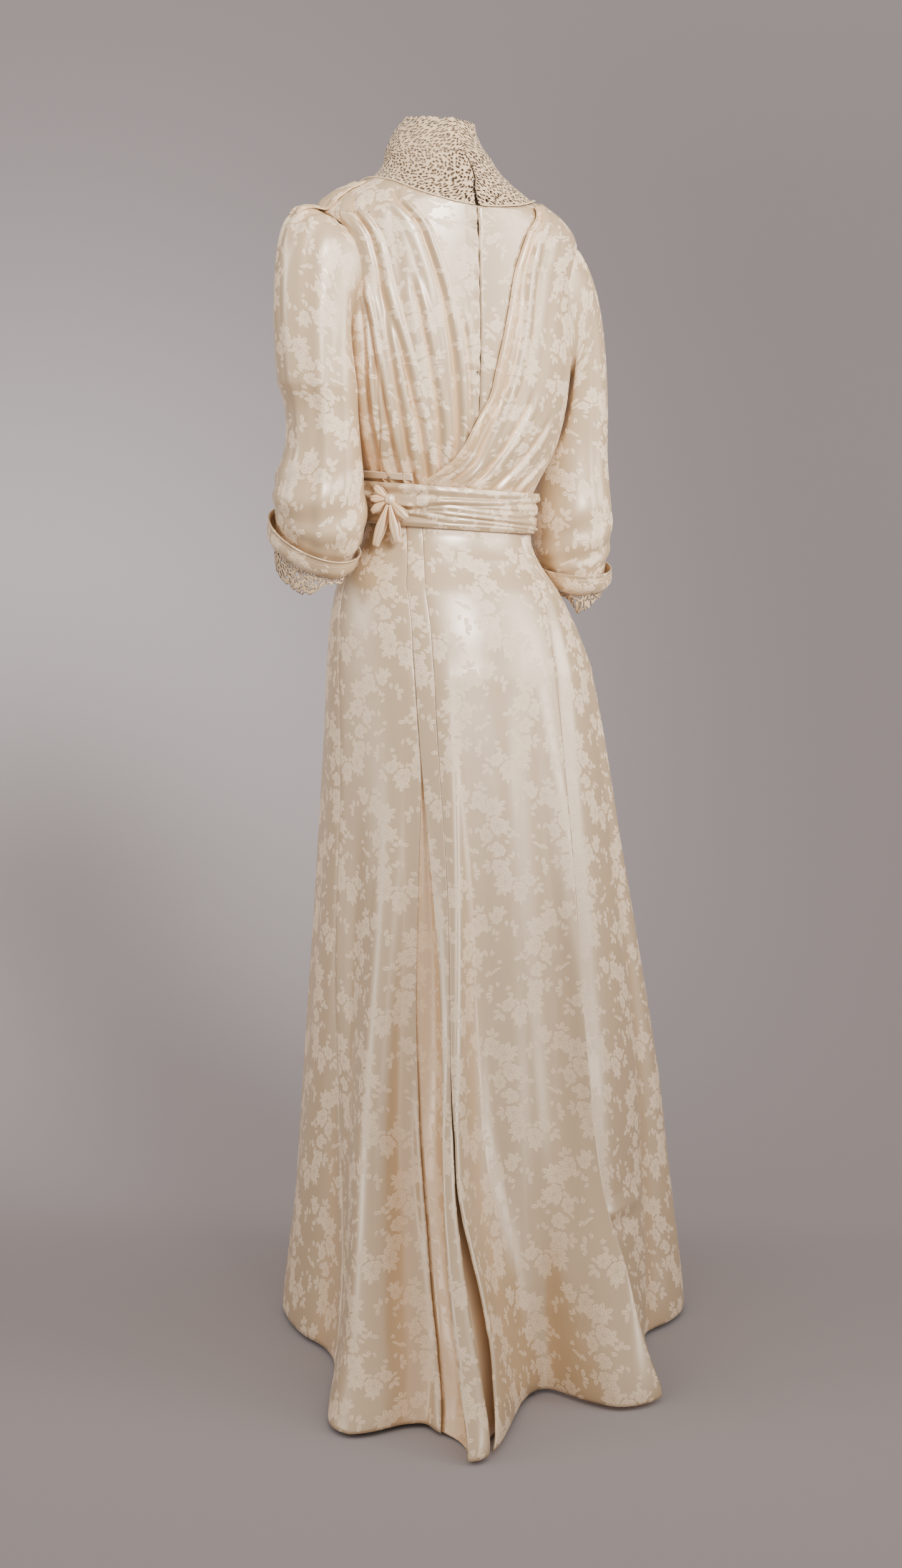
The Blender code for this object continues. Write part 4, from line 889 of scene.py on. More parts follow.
def cloth_material(name, group, turn, shift, strength, distance):
    """Cloth that reads the map of its piece in millimetres, turned and moved as it was cut."""
    material, shader = new_material(name)
    chart = tree.nodes.new("ShaderNodeUVMap")
    chart.uv_map = "cloth"
    placed = tree.nodes.new("ShaderNodeMapping")
    placed.inputs["Scale"].default_value = (1000.0, 1000.0, 1.0)
    placed.inputs["Rotation"].default_value = (0.0, 0.0, turn)
    placed.inputs["Location"].default_value = (*shift, 0.0)
    link(chart.outputs[0], placed.inputs[0])
    surface = tree.nodes.new("ShaderNodeGroup")
    surface.node_tree = group
    link(placed.outputs[0], surface.inputs["Place"])
    for socket in surface.outputs:
        if socket.name != "Height":
            label = "Base Color" if socket.name == "Color" else socket.name
            link(socket, shader.inputs[label])
    raised = tree.nodes.new("ShaderNodeBump")
    raised.inputs["Strength"].default_value = strength
    raised.inputs["Distance"].default_value = distance
    link(surface.outputs["Height"], raised.inputs["Height"])
    link(raised.outputs[0], shader.inputs["Normal"])
    return material, shader, surface


def silk_material(name, group, turn=0.0, shift=(0.0, 0.0)):
    """Silk, which also reads how deep each point lies in a fold, for its painted fold shade."""
    material, shader, surface = cloth_material(name, group, turn, shift, 0.25, 0.0004)
    depth = tree.nodes.new("ShaderNodeAttribute")
    depth.attribute_name = "fold"
    link(depth.outputs["Fac"], surface.inputs["Fold"])
    shader.inputs["Sheen Weight"].default_value = SHEEN
    shader.inputs["Sheen Roughness"].default_value = 0.4
    shader.inputs["IOR"].default_value = SILK_IOR
    shader.inputs["Specular IOR Level"].default_value = 1.0
    return material


# %% [markdown]
# ## Lace
#
# The collar and the frills are crochet lace: round motifs joined by a net of thread. The net is a
# pattern of cells whose borders are thread and whose middles are air. Around each motif's centre the
# thread gets denser. The gaps are too small and too many to cut, so the material leaves them out, and
# the thread is painted dark brown along its edges beside them: painted shade. The few large eyelets
# of the frills are cut into the mesh itself.

# %% Lace surface
NET_CELL = 4.6
MOTIF_CELL = 15.0
MOTIF_RINGS = 20.0
MOTIF_SHARE = 0.13
THREAD_STARTS = 0.20
THREAD_SOLID = 0.27
THREAD_TOP = 0.52
LACE_PAINTED_SHADE = (0.15, 0.085, 0.04, 1.0)
THREAD_LIGHT = (0.62, 0.44, 0.26, 1.0)


def cells(place, size, randomness):
    """How far a place is from the middle of its cell, as a share of the cell's size."""
    node = tree.nodes.new("ShaderNodeTexVoronoi")
    node.voronoi_dimensions = "2D"
    node.inputs["Scale"].default_value = 1 / size
    node.inputs["Randomness"].default_value = randomness
    link(place, node.inputs["Vector"])
    return node.outputs["Distance"]


def lace_group():
    given, taken = new_group("crochet", [("Place", "NodeSocketVector")],
                             [("Color", "NodeSocketColor"), ("Alpha", "NodeSocketFloat"),
                              ("Height", "NodeSocketFloat")])
    place = shaken(given.outputs["Place"], 0.12, 2.0, 4.0)
    rings = calc("COSINE", times(cells(place, MOTIF_CELL, 0.6), MOTIF_RINGS))
    rings = times(rings, MOTIF_SHARE)
    air = plus(cells(place, NET_CELL, 0.8), rings)
    thread = soft_step(air, THREAD_STARTS, THREAD_TOP)
    # Painted shade: the thread darkens to brown towards the gaps.
    link(blend(thread, LACE_PAINTED_SHADE, THREAD_LIGHT), taken.inputs["Color"])
    link(soft_step(air, THREAD_STARTS, THREAD_SOLID), taken.inputs["Alpha"])
    link(thread, taken.inputs["Height"])
    return tree


CROCHET = lace_group()


def lace_material(name):
    material, shader, _ = cloth_material(name, CROCHET, 0.0, (0.0, 0.0), 0.6, 0.0006)
    shader.inputs["Roughness"].default_value = 0.8
    shader.inputs["Sheen Weight"].default_value = 0.2
    return material


def worn_material(name, light, dark, grain, roughness, metallic=0.0):
    """A small piece's finish: two tones and an uneven gloss, from fine noise on the object."""
    material, shader = new_material(name)
    place = tree.nodes.new("ShaderNodeTexCoord").outputs["Object"]
    uneven = noise(place, grain, 3.0).outputs["Fac"]
    color = blend(soft_step(uneven, 0.35, 0.65), (*light, 1.0), (*dark, 1.0))
    gloss = plus(times(uneven, 0.2), roughness - 0.1)
    link(color, shader.inputs["Base Color"])
    link(gloss, shader.inputs["Roughness"])
    shader.inputs["Metallic"].default_value = metallic
    return material


# %% The finishes
DAMASK_BACK = silk_material("damask_back", DAMASK)
DAMASK_GORE = silk_material("damask_gore", DAMASK, shift=(30.0, 60.0))
DAMASK_SIDE = silk_material("damask_side", DAMASK, shift=(55.0, 20.0))
DAMASK_STRIP = silk_material("damask_strip", DAMASK, shift=(35.0, 10.0))
DAMASK_PLEATS = silk_material("damask_pleats", DAMASK, turn=0.35, shift=(20.0, 0.0))
DAMASK_SURPLICE = silk_material("damask_surplice", DAMASK, turn=-0.45, shift=(0.0, 40.0))
DAMASK_SLEEVE = silk_material("damask_sleeve", DAMASK, turn=0.1, shift=(40.0, 15.0))
SATIN = silk_material("satin_plain", PLAIN_SILK)
# Painted shade: a darker, warmer copy of the plain silk, for the inside of the fold behind the back strip's
# gap.
SILK_PAINTED_SHADE = silk_group("silk_inside_shade", False, (0.74, 0.53, 0.33, 1.0), (0.78, 0.57, 0.37, 1.0))
SATIN_PAINTED_SHADE = silk_material("satin_painted_shade", SILK_PAINTED_SHADE)
DAMASK_BAND = silk_material("damask_band", DAMASK, turn=1.57, shift=(10.0, 30.0))
DAMASK_CUFF = silk_material("damask_cuff", DAMASK, turn=1.2, shift=(25.0, 12.0))
LACE_CLOTH = lace_material("lace_cloth")
STEEL_WIRE = worn_material("steel_wire", (0.34, 0.30, 0.26), (0.16, 0.12, 0.09), 900.0, 0.4, 0.85)
STITCH_THREAD = worn_material("stitch_thread", (0.78, 0.60, 0.40), (0.60, 0.43, 0.26), 1500.0, 0.6)
CORD_SILK = worn_material("cord_silk", (0.78, 0.61, 0.41), (0.62, 0.45, 0.27), 700.0, 0.5)
print("finishes:", ", ".join(material.name for material in bpy.data.materials))

# %% [markdown]
# ## The skirt
#
# The skirt is cut in gores: long pieces that are narrow at the waist and wide at the hem, so it fits
# the hips and still sweeps the floor in a short train. Each gore is one cloth grid between two seams.
# Long soft folds start below the hip, where the silk's own weight pulls it into flutes.

# %% Where the seams run
SEAM_GAP = 0.0004
FRONT_SEAM = 38
UNDER_LEFT = 5.0
UNDER_RIGHT = 1.0
STRIP_OPENS = 1.2
FOLD_OVERLAP = 4.0
PLEAT_DEPTH = 0.016
UNDER_TOP = 7.3
FOLDS_OPEN_AT = 0.72
UNDER_BEHIND = 0.0046
UNDER_BEHIND_LOW = 0.0020
SIDE_BEHIND = 0.0048
SIDE_BEHIND_LOW = 0.0050
SIDE_LEVEL_AT = 10.0
SIDE_RISES_OVER = 8.0
STRIP_OPENS_HEIGHT = 0.11
STRIP_OPENS_REACH = 0.16


def arc_degrees(angle, height, length):
    """A length along the skirt as degrees round it."""
    _, left, right, back, front = between(SKIRT, row_at(SKIRT, height))
    turn = np.radians(angle)
    width = np.where(np.cos(turn) > 0, left, right)
    depth = np.where(np.sin(turn) > 0, back, front)
    return np.degrees(length / np.hypot(width * np.sin(turn), depth * np.cos(turn)))


def skirt_panel(start, end, surface, out=None, top=len(SKIRT) - 1):
    """A gore between two edges that are read at each height."""
    def place(u, v):
        height = between(SKIRT, v * top)[0]
        first = start(height)
        last = end(height)
        first = first + arc_degrees(first, height, SEAM_GAP / 2)
        last = last - arc_degrees(last, height, SEAM_GAP / 2)
        angle = first + (last - first) * u
        if out is None:
            return surface(angle, height)
        return moved_out(surface, out, SKIRT_STEPS)(angle, height)
    return place


def low_share(height):
    """How much a fold that opens towards the hem is open at this height."""
    return np.clip(1 - height / FOLDS_OPEN_AT, 0, 1)


def seam(rows):
    """A seam or a fold as a function of the height."""
    return lambda height: edge_angle(rows, height)


def upright(angle):
    """A seam that stays at one angle."""
    return lambda height: np.full(np.shape(height), float(angle))


left_seam, strip_edge, strip_seam, gore_fold = map(seam, (LEFT_SEAM, STRIP_EDGE, STRIP_SEAM, GORE_FOLD))
front_right_seam, front_left_seam = upright(FRONT_SEAM - 180), upright(-FRONT_SEAM)
side_right_end = upright(FRONT_SEAM + 180)


def pleat_fold(height):
    """The left edge of the pleat, which is the strip's own edge above the place where it opens."""
    closed = strip_edge(height)
    return np.where(height > PLEAT_FOLD[-1][0], closed, np.minimum(edge_angle(PLEAT_FOLD, height), closed))


def shifted(edge, angle):
    """An edge that keeps beside another one."""
    return lambda height: edge(height) + angle


def gore_start(height):
    return strip_seam(height) + STRIP_OPENS * hump((height - STRIP_OPENS_HEIGHT) / STRIP_OPENS_REACH)


side_right_start = shifted(gore_fold, -FOLD_OVERLAP)
under_start = shifted(pleat_fold, -UNDER_LEFT)
under_end = shifted(strip_edge, UNDER_RIGHT)


def pleat_out(angle, height):
    """The inside of the pleat lies behind both of its edges and sinks between them."""
    share = (angle - pleat_fold(height)) / np.maximum(strip_edge(height) - pleat_fold(height), 0.5)
    under = UNDER_BEHIND + UNDER_BEHIND_LOW * low_share(height)
    return -under - PLEAT_DEPTH * low_share(height) ** 0.7 * hump((share - 0.5) / 0.62)


def behind_fold(angle, height):
    """The side gore starts behind the back gore's fold, then comes up level with it."""
    past = angle - gore_fold(height)
    behind = SIDE_BEHIND + SIDE_BEHIND_LOW * low_share(height)
    return -behind * ease((SIDE_LEVEL_AT - past) / SIDE_RISES_OVER)


# %% Edges, hem and soft folds
SEAM_TURN = 0.0009
SEAM_WIDE = 0.0035
HEM_DEEP = 0.110


def turned_edges(x):
    """Each cut edge is turned in, so the cloth dips a little towards its seam."""
    left = x - x.min(axis=1, keepdims=True)
    right = x.max(axis=1, keepdims=True) - x
    return -SEAM_TURN * (np.exp(-left / SEAM_WIDE) + np.exp(-right / SEAM_WIDE))


def hem_line(y):
    """The deep hem shows as a faint step where its top edge is caught, and a rounded foot."""
    step = -0.0007 * np.exp(-((y - HEM_DEEP) / SEAM_WIDE) ** 2)
    return step + 0.0005 * ease((HEM_DEEP - y) / 0.006) - 0.0012 * np.exp(-y / 0.004)


def soft_folds(rows):
    """Long shallow ridges and troughs that run down the gore and fade at both ends."""
    def relief(x, y, u, v):
        out = turned_edges(x) + hem_line(y)
        top = y.max()
        for at_waist, at_hem, low, high, half_wide, deep in rows:
            line = at_hem + (at_waist - at_hem) * (y / top)
            fade = ease((y - low) / 0.15) * ease((high - y) / 0.20)
            out = out + 0.55 * deep * hump((x - line) / half_wide) * fade
        sway = np.sin(x * 21 + y * 5) * np.sin(y * 8 + x * 6 + 1.0)
        return out + 0.0008 * sway * ease((top - y) / 0.3) * ease(y / 0.05)
    return relief


FOLD_COLUMNS = ("x_at_waist", "x_at_hem", "from_y", "to_y", "half_wide", "deep")
BACK_LEFT_FOLDS = (
    (-0.020, -0.115, 0.00, 0.75, 0.030, 0.0045),
    (0.000, -0.070, 0.00, 0.80, 0.022, -0.0040),
    (0.030, 0.030, 0.00, 0.82, 0.028, 0.0040),
    (0.045, 0.085, 0.02, 0.72, 0.024, -0.0040),
)
BACK_RIGHT_FOLDS = (
    (-0.020, -0.150, 0.00, 0.66, 0.026, 0.0040),
    (-0.005, -0.090, 0.00, 0.60, 0.026, -0.0040),
    (0.015, -0.020, 0.05, 0.86, 0.030, 0.0040),
    (0.030, 0.060, 0.00, 0.88, 0.026, -0.0035),
    (0.045, 0.130, 0.00, 0.93, 0.022, 0.0045),
)
SIDE_RIGHT_FOLDS = (
    (-0.030, -0.090, 0.00, 0.90, 0.022, 0.0040),
    (-0.010, -0.030, 0.00, 0.86, 0.026, -0.0040),
    (0.020, 0.040, 0.00, 0.82, 0.030, 0.0035),
)
FRONT_FOLDS = (
    (-0.040, -0.110, 0.00, 0.80, 0.034, 0.0040),
    (-0.020, -0.040, 0.00, 0.74, 0.030, -0.0038),
    (0.015, 0.030, 0.00, 0.80, 0.032, 0.0040),
    (0.040, 0.110, 0.00, 0.74, 0.030, -0.0038),
)
SIDE_LEFT_FOLDS = (
    (0.000, -0.030, 0.00, 0.76, 0.028, 0.0040),
    (0.010, 0.030, 0.00, 0.70, 0.026, -0.0036),
)
describe(FOLD_COLUMNS, back_left=BACK_LEFT_FOLDS, back_right=BACK_RIGHT_FOLDS, side_right=SIDE_RIGHT_FOLDS,
         front=FRONT_FOLDS, side_left=SIDE_LEFT_FOLDS)
TUCK_HEIGHT = 0.172
TUCK_HALF = 0.012


def side_right_relief(x, y, u, v):
    """The right side gore has a short level tuck near its hem, beside the back gore's fold."""
    folds = soft_folds(SIDE_RIGHT_FOLDS)(x, y, u, v)
    level = (y - TUCK_HEIGHT) / TUCK_HALF
    beside = hump((u - 0.14) / 0.16)
    return folds + beside * (0.0062 * hump(level) - 0.0040 * hump(level + 1.3))


def back_left_relief(x, y, u, v):
    """The pleat's left edge rolls inward below the place where the pleat opens."""
    rolled = x.max(axis=1, keepdims=True) - x
    roll = 0.0030 * np.exp(-rolled / 0.006) * ease((0.75 - v) / 0.15)
    return soft_folds(BACK_LEFT_FOLDS)(x, y, u, v) - roll


# %% Make the gores
INNER_SILK = 0.0009
GAP_SILK = 0.0008
GAP_TOP = 4.4
# Each gore's valleys get painted fold shade, at half strength on the back and right side gores.
cloth("skirt_front_cloth", skirt_panel(front_right_seam, front_left_seam, skirt), 70, 90,
      DAMASK_GORE, ["skirt_front"], soft_folds(FRONT_FOLDS))
cloth("skirt_side_left_cloth", skirt_panel(front_left_seam, left_seam, skirt), 40, 110,
      DAMASK_SIDE, ["skirt_side_left"], soft_folds(SIDE_LEFT_FOLDS))
cloth("skirt_back_left_cloth", skirt_panel(left_seam, pleat_fold, skirt), 110, 170,
      DAMASK_BACK, ["skirt_back_left"], back_left_relief, warm=0.5)
# Painted shade: the pleat's inside is tinted peach all over.
cloth("skirt_pleat_inside_cloth", skirt_panel(under_start, under_end, skirt, pleat_out, UNDER_TOP), 50, 110,
      DAMASK_BACK, ["skirt_pleat_inside"], thick=INNER_SILK,
      painted_light_and_shade=lambda x, y, u, v: np.full_like(u, 0.8))
cloth("skirt_strip_back_cloth", skirt_panel(strip_edge, strip_seam, skirt), 18, 170,
      DAMASK_STRIP, ["skirt_strip_back"], soft_folds(()))
cloth("skirt_back_right_cloth", skirt_panel(gore_start, gore_fold, skirt), 130, 170,
      DAMASK_GORE, ["skirt_back_right"], soft_folds(BACK_RIGHT_FOLDS), warm=0.5)
side_panel = skirt_panel(side_right_start, side_right_end, side_skirt, behind_fold)
cloth("skirt_side_right_cloth", side_panel, 90, 160, DAMASK_SIDE, ["skirt_side_right"], side_right_relief,
      warm=0.5)


def gap_out(angle, height):
    """The silk behind the strip's gap folds inward like the inside of a pleat."""
    share = (angle - strip_seam(height)) / 2.0
    return -0.0030 - 0.014 * low_share(height) * hump(share - 0.5)


# The inside of the fold behind the strip's gap is real cloth, in the painted-shade copy of plain silk.
gap_panel = skirt_panel(shifted(strip_seam, -1.4), shifted(gore_start, 1.6), skirt, gap_out, GAP_TOP)
cloth("skirt_gap_fold_cloth", gap_panel, 24, 60, SATIN_PAINTED_SHADE,
      thick=GAP_SILK)

# %% [markdown]
# ## The bodice
#
# The left back is laid in pleats that fan out of the shoulder and meet at the waist. Each pleat is a
# ridge with one steep side, as a pressed fold has, and the silk in the valleys is painted warm as
# painted shade. The lines of the pleats come from a short table of angles. A centre-back slit closes
# the bodice with hooks, so its two edges meet in a thin uneven line.

# %% Bodice tables
PLEAT_COLUMNS = ("waist_angle", "middle_angle", "top_angle", "top_height", "height")
PLEATS = (
    (-3, 12, 20, 1.250, 0.0020),
    (5, 22, 30, 1.345, 0.0030),
    (13, 31, 30, 1.370, 0.0036),
    (21, 39, 32, 1.384, 0.0040),
    (29, 47, 37, 1.392, 0.0040),
    (37, 54, 45, 1.394, 0.0038),
    (45, 61, 56, 1.360, 0.0036),
    (53, 67, 66, 1.290, 0.0032),
    (61, 73, 73, 1.230, 0.0028),
)
PLEAT_WAIST_WIDTH = 0.0075
PLEAT_TOP_WIDTH = 0.013
PLEAT_MIDDLE_HEIGHT = 1.17
ARMHOLE_BOTTOM = 3.45
ARMHOLE_TOP = 7.0
ARMHOLE_MIDDLE = (ARMHOLE_TOP + ARMHOLE_BOTTOM) / 2
ARMHOLE_HALF = (ARMHOLE_TOP - ARMHOLE_BOTTOM) / 2
ARMHOLE_BACK = 0.060
ARMHOLE_FRONT = 0.044
BODICE_ROWS = 14
ROWS_TO_LOW = 3 / BODICE_ROWS
ROWS_TO_HIGH = 12 / BODICE_ROWS
SEAM_ALLOWANCE = 0.0035
BODICE_BELOW = 0.02
SURPLICE_BELOW = 0.28
SLIT_PLACE = 6.9
NECK_PLACE = 9.3
NECKLINE = (
    (-180, 1.404), (-150, 1.396), (-90, 1.372), (-30, 1.396), (0, 1.406), (35, 1.402), (70, 1.387),
    (90, 1.3825), (110, 1.387), (140, 1.398), (180, 1.404),
)
describe(PLEAT_COLUMNS, pleats=PLEATS)


def pleats(angle, place):
    """How far the left back stands out in its pleats."""
    height, _, _, half_width, back, _ = between(BODY, place)
    share = np.clip((height - WAIST_HEIGHT) / (PLEAT_MIDDLE_HEIGHT - WAIST_HEIGHT), 0, 1)
    total = np.zeros(np.broadcast(angle, place).shape)
    radius = np.hypot(half_width * np.sin(np.radians(angle)), back * np.cos(np.radians(angle)))
    for waist_angle, middle_angle, top_angle, top_height, ridge in PLEATS:
        upper = np.clip((height - PLEAT_MIDDLE_HEIGHT) / (top_height - PLEAT_MIDDLE_HEIGHT), 0, 1)
        line = waist_angle + (middle_angle - waist_angle) * np.sin(share * np.pi / 2)
        line = line + (top_angle - middle_angle) * upper ** 1.5
        width = PLEAT_WAIST_WIDTH + (PLEAT_TOP_WIDTH - PLEAT_WAIST_WIDTH) * share
        off = np.radians(angle - line) * radius / width
        fade = ease((top_height - height) / 0.04) * (0.2 + 0.8 * ease((height - WAIST_HEIGHT) / 0.03))
        total = total + ridge * hump(off) * fade
    hole = armhole_angle(place, ARMHOLE_BACK, 4)
    beside_hole = 0.35 + 0.65 * ease((angle - hole) / 9.0)
    seam = ease((88.0 - angle) / 8.0) * ease((angle + 12.0) / 12.0) * beside_hole
    return total * seam


def bodice_surface(angle, place):
    """The bodice's surface, with the left back in pleats."""
    return moved_out(body, pleats, BODY_STEPS)(angle, place)


def neck_place(angle):
    """The place in the body table where the bodice ends and the lace starts."""
    return row_at(BODY, between(NECKLINE, row_at(NECKLINE, wrapped(angle)))[1])


def armhole_angle(place, reach, depth_column):
    """The angle from the side line to the armhole's edge, which is an oval."""
    share = np.clip((place - ARMHOLE_MIDDLE) / ARMHOLE_HALF, -1, 1)
    depth = between(BODY, place)[depth_column]
    return np.degrees(np.arcsin(reach * np.sqrt(1 - share * share) / depth))


def bodice_place(v, top):
    """The bodice's rows, which are closer together beside the armhole."""
    above = ARMHOLE_TOP + (top - ARMHOLE_TOP) * (v - ROWS_TO_HIGH) / (1 - ROWS_TO_HIGH)
    beside = np.clip((v - ROWS_TO_LOW) / (ROWS_TO_HIGH - ROWS_TO_LOW), 0, 1)
    beside = ARMHOLE_MIDDLE - ARMHOLE_HALF * np.cos(np.pi * beside)
    below = ARMHOLE_BOTTOM * v / ROWS_TO_LOW
    return np.where(v < ROWS_TO_LOW, below, np.where(v > ROWS_TO_HIGH, above, beside))


def settled(angle_at, v, below):
    """The angle and place of a point whose column ends a little below the neckline over it."""
    level = bodice_place(v, NECK_PLACE)
    for _ in range(3):
        angle = angle_at(level)
        level = bodice_place(v, neck_place(angle) - below)
    return angle, level


def panel_place(start_angle, end_angle, u, v):
    """The angle and place of each point of a bodice wall between two edges."""
    return settled(lambda level: start_angle(level) * (1 - u) + end_angle(level) * u, v, BODICE_BELOW)


def bodice_panel(start_angle, end_angle):
    """A bodice wall between two edges that may follow the armholes."""
    return lambda u, v: bodice_surface(*panel_place(start_angle, end_angle, u, v))


def armhole_side(base, sign, reach, depth_column):
    """The armhole's edge on one side of a bodice wall."""
    return lambda place: base + sign * armhole_angle(place, reach - SEAM_ALLOWANCE, depth_column)


left_back_edge = armhole_side(0.0, 1, ARMHOLE_BACK, 4)
left_front_edge = armhole_side(0.0, -1, ARMHOLE_FRONT, 5)
right_back_edge = armhole_side(180.0, -1, ARMHOLE_BACK, 4)
right_front_edge = armhole_side(-180.0, 1, ARMHOLE_FRONT, 5)


def opening_gap(place):
    """Half of the hooked slit, a thin wavy line that stands a little open between its hooks."""
    place = np.asarray(place)
    return 0.10 + 0.30 * hump((place - SLIT_PLACE) / 0.5) + 0.07 * np.sin(place * 9.0)


def opening_left(place):
    return 90.0 - opening_gap(place)


def opening_right(place):
    return 90.0 + opening_gap(place)


# %% [markdown]
# ## The lines of the folds
#
# Pressed folds leave the waist, swell round the back and lean towards the shoulder. A simulation would
# find folds of its own. So each is a short line of heights and angles, along which the cloth sinks,
# and behind which it rises softly.

# %% Fold lines
FOLD_LINE_COLUMNS = ("line_of_height_and_angle", "half_width", "depth")
PLEAT_LINES = (
    (((1.046, 24), (1.094, 32), (1.168, 35), (1.228, 34.6), (1.266, 31.8), (1.293, 27.5), (1.33, 24),
      (1.366, 16.6)), 0.0070, 0.0052),
    (((1.060, 30), (1.10, 37), (1.168, 39.5), (1.228, 38.6), (1.275, 34.6), (1.31, 30), (1.352, 22)),
     0.0050, 0.0036),
    (((1.046, 40), (1.089, 43), (1.14, 42.5), (1.198, 39.8), (1.257, 35.8), (1.294, 32.3), (1.33, 29),
      (1.367, 20)), 0.0070, 0.0040),
    (((1.046, 50), (1.11, 51.5), (1.172, 49.5), (1.245, 46), (1.29, 43)), 0.0080, 0.0032),
    (((1.046, 59.5), (1.099, 60.5), (1.142, 58), (1.201, 53.5), (1.266, 46.5), (1.31, 43.5), (1.339, 40),
      (1.377, 27)), 0.0090, 0.0040),
    (((1.046, 67), (1.11, 70), (1.178, 67.5), (1.25, 63), (1.29, 60)), 0.0080, 0.0030),
    (((1.070, 77), (1.102, 79.4), (1.147, 79), (1.207, 77), (1.273, 73), (1.323, 68), (1.359, 62),
      (1.395, 44)), 0.0085, 0.0034),
    (((1.085, 84), (1.13, 85.5), (1.20, 84.5), (1.25, 82)), 0.0060, 0.0020),
)
describe(FOLD_LINE_COLUMNS, pleat_lines=PLEAT_LINES)


def fold_lines(rows, angle, height):
    """Valleys along the lines, each with a soft ridge behind it, as a pressed fold lies."""
    place = row_at(BODY, height)
    _, _, _, half_width, back, _ = between(BODY, place)
    radius = np.hypot(half_width * np.sin(np.radians(angle)), back * np.cos(np.radians(angle)))
    out = np.zeros_like(angle)
    for line, wide, deep in rows:
        first, last = line[0][0], line[-1][0]
        off = np.radians(angle - edge_angle(line, height)) * radius / wide
        fade = ease((last + 0.012 - height) / 0.04) * ease((height - first + 0.05) / 0.05)
        out = out + deep * fade * (0.75 * hump((off - 0.9) / 1.0) - hump(off / 0.85) * 0.8)
        out = out + deep * fade * 0.35 * hump((off + 1.5) / 1.2)
    return out


# %% Make the bodice's pieces
def left_back_place(u, v):
    """The angle and place of each point of the left back."""
    return panel_place(left_back_edge, opening_left, u, v)


def left_back(u, v):
    """The left back over the body, with a third of the solid's even pleats."""
    angle, level = left_back_place(u, v)
    lift = 0.0012 * ease((88 - angle) / 4) + 0.30 * pleats(angle, level)
    return moved_out(body, lift, BODY_STEPS)(angle, level)


def pleat_relief(x, y, u, v):
    """The main pleats along their lines, and small puckers beside the hooked slit."""
    angle, level = left_back_place(u, v)
    height = between(BODY, level)[0]
    seam = ease((88.5 - angle) / 3) * ease((angle - armhole_angle(level, ARMHOLE_BACK, 4) + 1) / 5)
    from_slit = x.max(axis=1, keepdims=True) - x
    pucker = 0.0007 * np.sin(y * 200 + np.sin(y * 70)) * np.exp(-from_slit / 0.007)
    return fold_lines(PLEAT_LINES, angle, height) * seam + pucker + turned_edges(x)


def pleat_painted_shade(x, y, u, v):
    """Painted shade: the flat silk under the arm and the roots of the pleats are tinted warm, out of the
    light.
    """
    angle, level = left_back_place(u, v)
    height = between(BODY, level)[0]
    under_arm = hump((angle - 24) / 15) * ease((1.25 - height) / 0.08) * 0.75
    return under_arm + 0.55 * ease((1.085 - height) / 0.04)


cloth("bodice_back_left_cloth", left_back, 180, 140,
      DAMASK_PLEATS, ["bodice_back_left"], pleat_relief, painted_light_and_shade=pleat_painted_shade)
cloth("bodice_back_right_cloth", bodice_panel(opening_right, right_back_edge), 40, 60,
      DAMASK_BACK, ["bodice_back_right"], thick=0.0010)
cloth("bodice_front_cloth", bodice_panel(right_front_edge, left_front_edge), 70, 80,
      DAMASK_GORE, ["bodice_front"], lambda x, y, u, v: turned_edges(x))

# %% [markdown]
# ## The surplice
#
# Over the right back lies a draped panel whose free edge crosses from the right shoulder to the left
# waist. As part of the bodice's wall that edge would have no thickness, so the panel is a cloth of its
# own, one layer further out. Its folds run beside the edge and crowd together at the waist.

# %% Surplice
SURPLICE_EDGE = (
    (1.030, 50), (1.047, 57), (1.060, 67), (1.076, 76), (1.095, 82), (1.124, 88), (1.155, 94.5),
    (1.185, 97), (1.221, 100), (1.265, 103.5), (1.315, 107), (1.359, 114), (1.385, 126),
    (1.41, 138),
)
SURPLICE_FOLD_COLUMNS = ("behind_edge", "half_width", "height", "upper_share")
SURPLICE_FOLDS = (
    (2.5, 2.6, 0.0028, 1.0),
    (10.0, 3.6, 0.0036, 0.9),
    (20.0, 4.4, 0.0034, 0.6),
    (31.0, 5.0, 0.0028, 0.35),
    (43.0, 5.5, 0.0020, 0.2),
)
SURPLICE_CROWDING = 1.35
LAYER = 0.0030
OVER_PLEATS = 0.0044
SHOULDER_LIFT = 0.0012


def surplice_out(behind, place):
    """The surplice lies over the pleats, and its own folds run beside its leading edge."""
    height = between(BODY, place)[0]
    upper = ease((height - 1.06) / 0.20)
    waist = 0.45 + 0.55 * ease((height - WAIST_HEIGHT) / 0.03)
    total = np.zeros(np.broadcast(behind, place).shape)
    for after, half_width, ridge, upper_share in SURPLICE_FOLDS:
        size = 1 + (upper_share - 1) * upper
        total = total + ridge * size * hump((behind - after) / half_width)
    return total * waist


DRAPE_LINES = (
    (((1.042, 74), (1.071, 87), (1.112, 95.6), (1.161, 102.6), (1.191, 106.5), (1.237, 110), (1.304, 112.6),
      (1.371, 117)), 0.0095, 0.0034),
    (((1.042, 87), (1.060, 96), (1.092, 105), (1.13, 113), (1.16, 118)), 0.0095, 0.0030),
    (((1.042, 104), (1.071, 116), (1.105, 127), (1.14, 135)), 0.0100, 0.0028),
    (((1.042, 122), (1.068, 134), (1.10, 145)), 0.0100, 0.0024),
)
describe(SURPLICE_FOLD_COLUMNS, surplice_folds=SURPLICE_FOLDS)
describe(FOLD_LINE_COLUMNS, drape_lines=DRAPE_LINES)


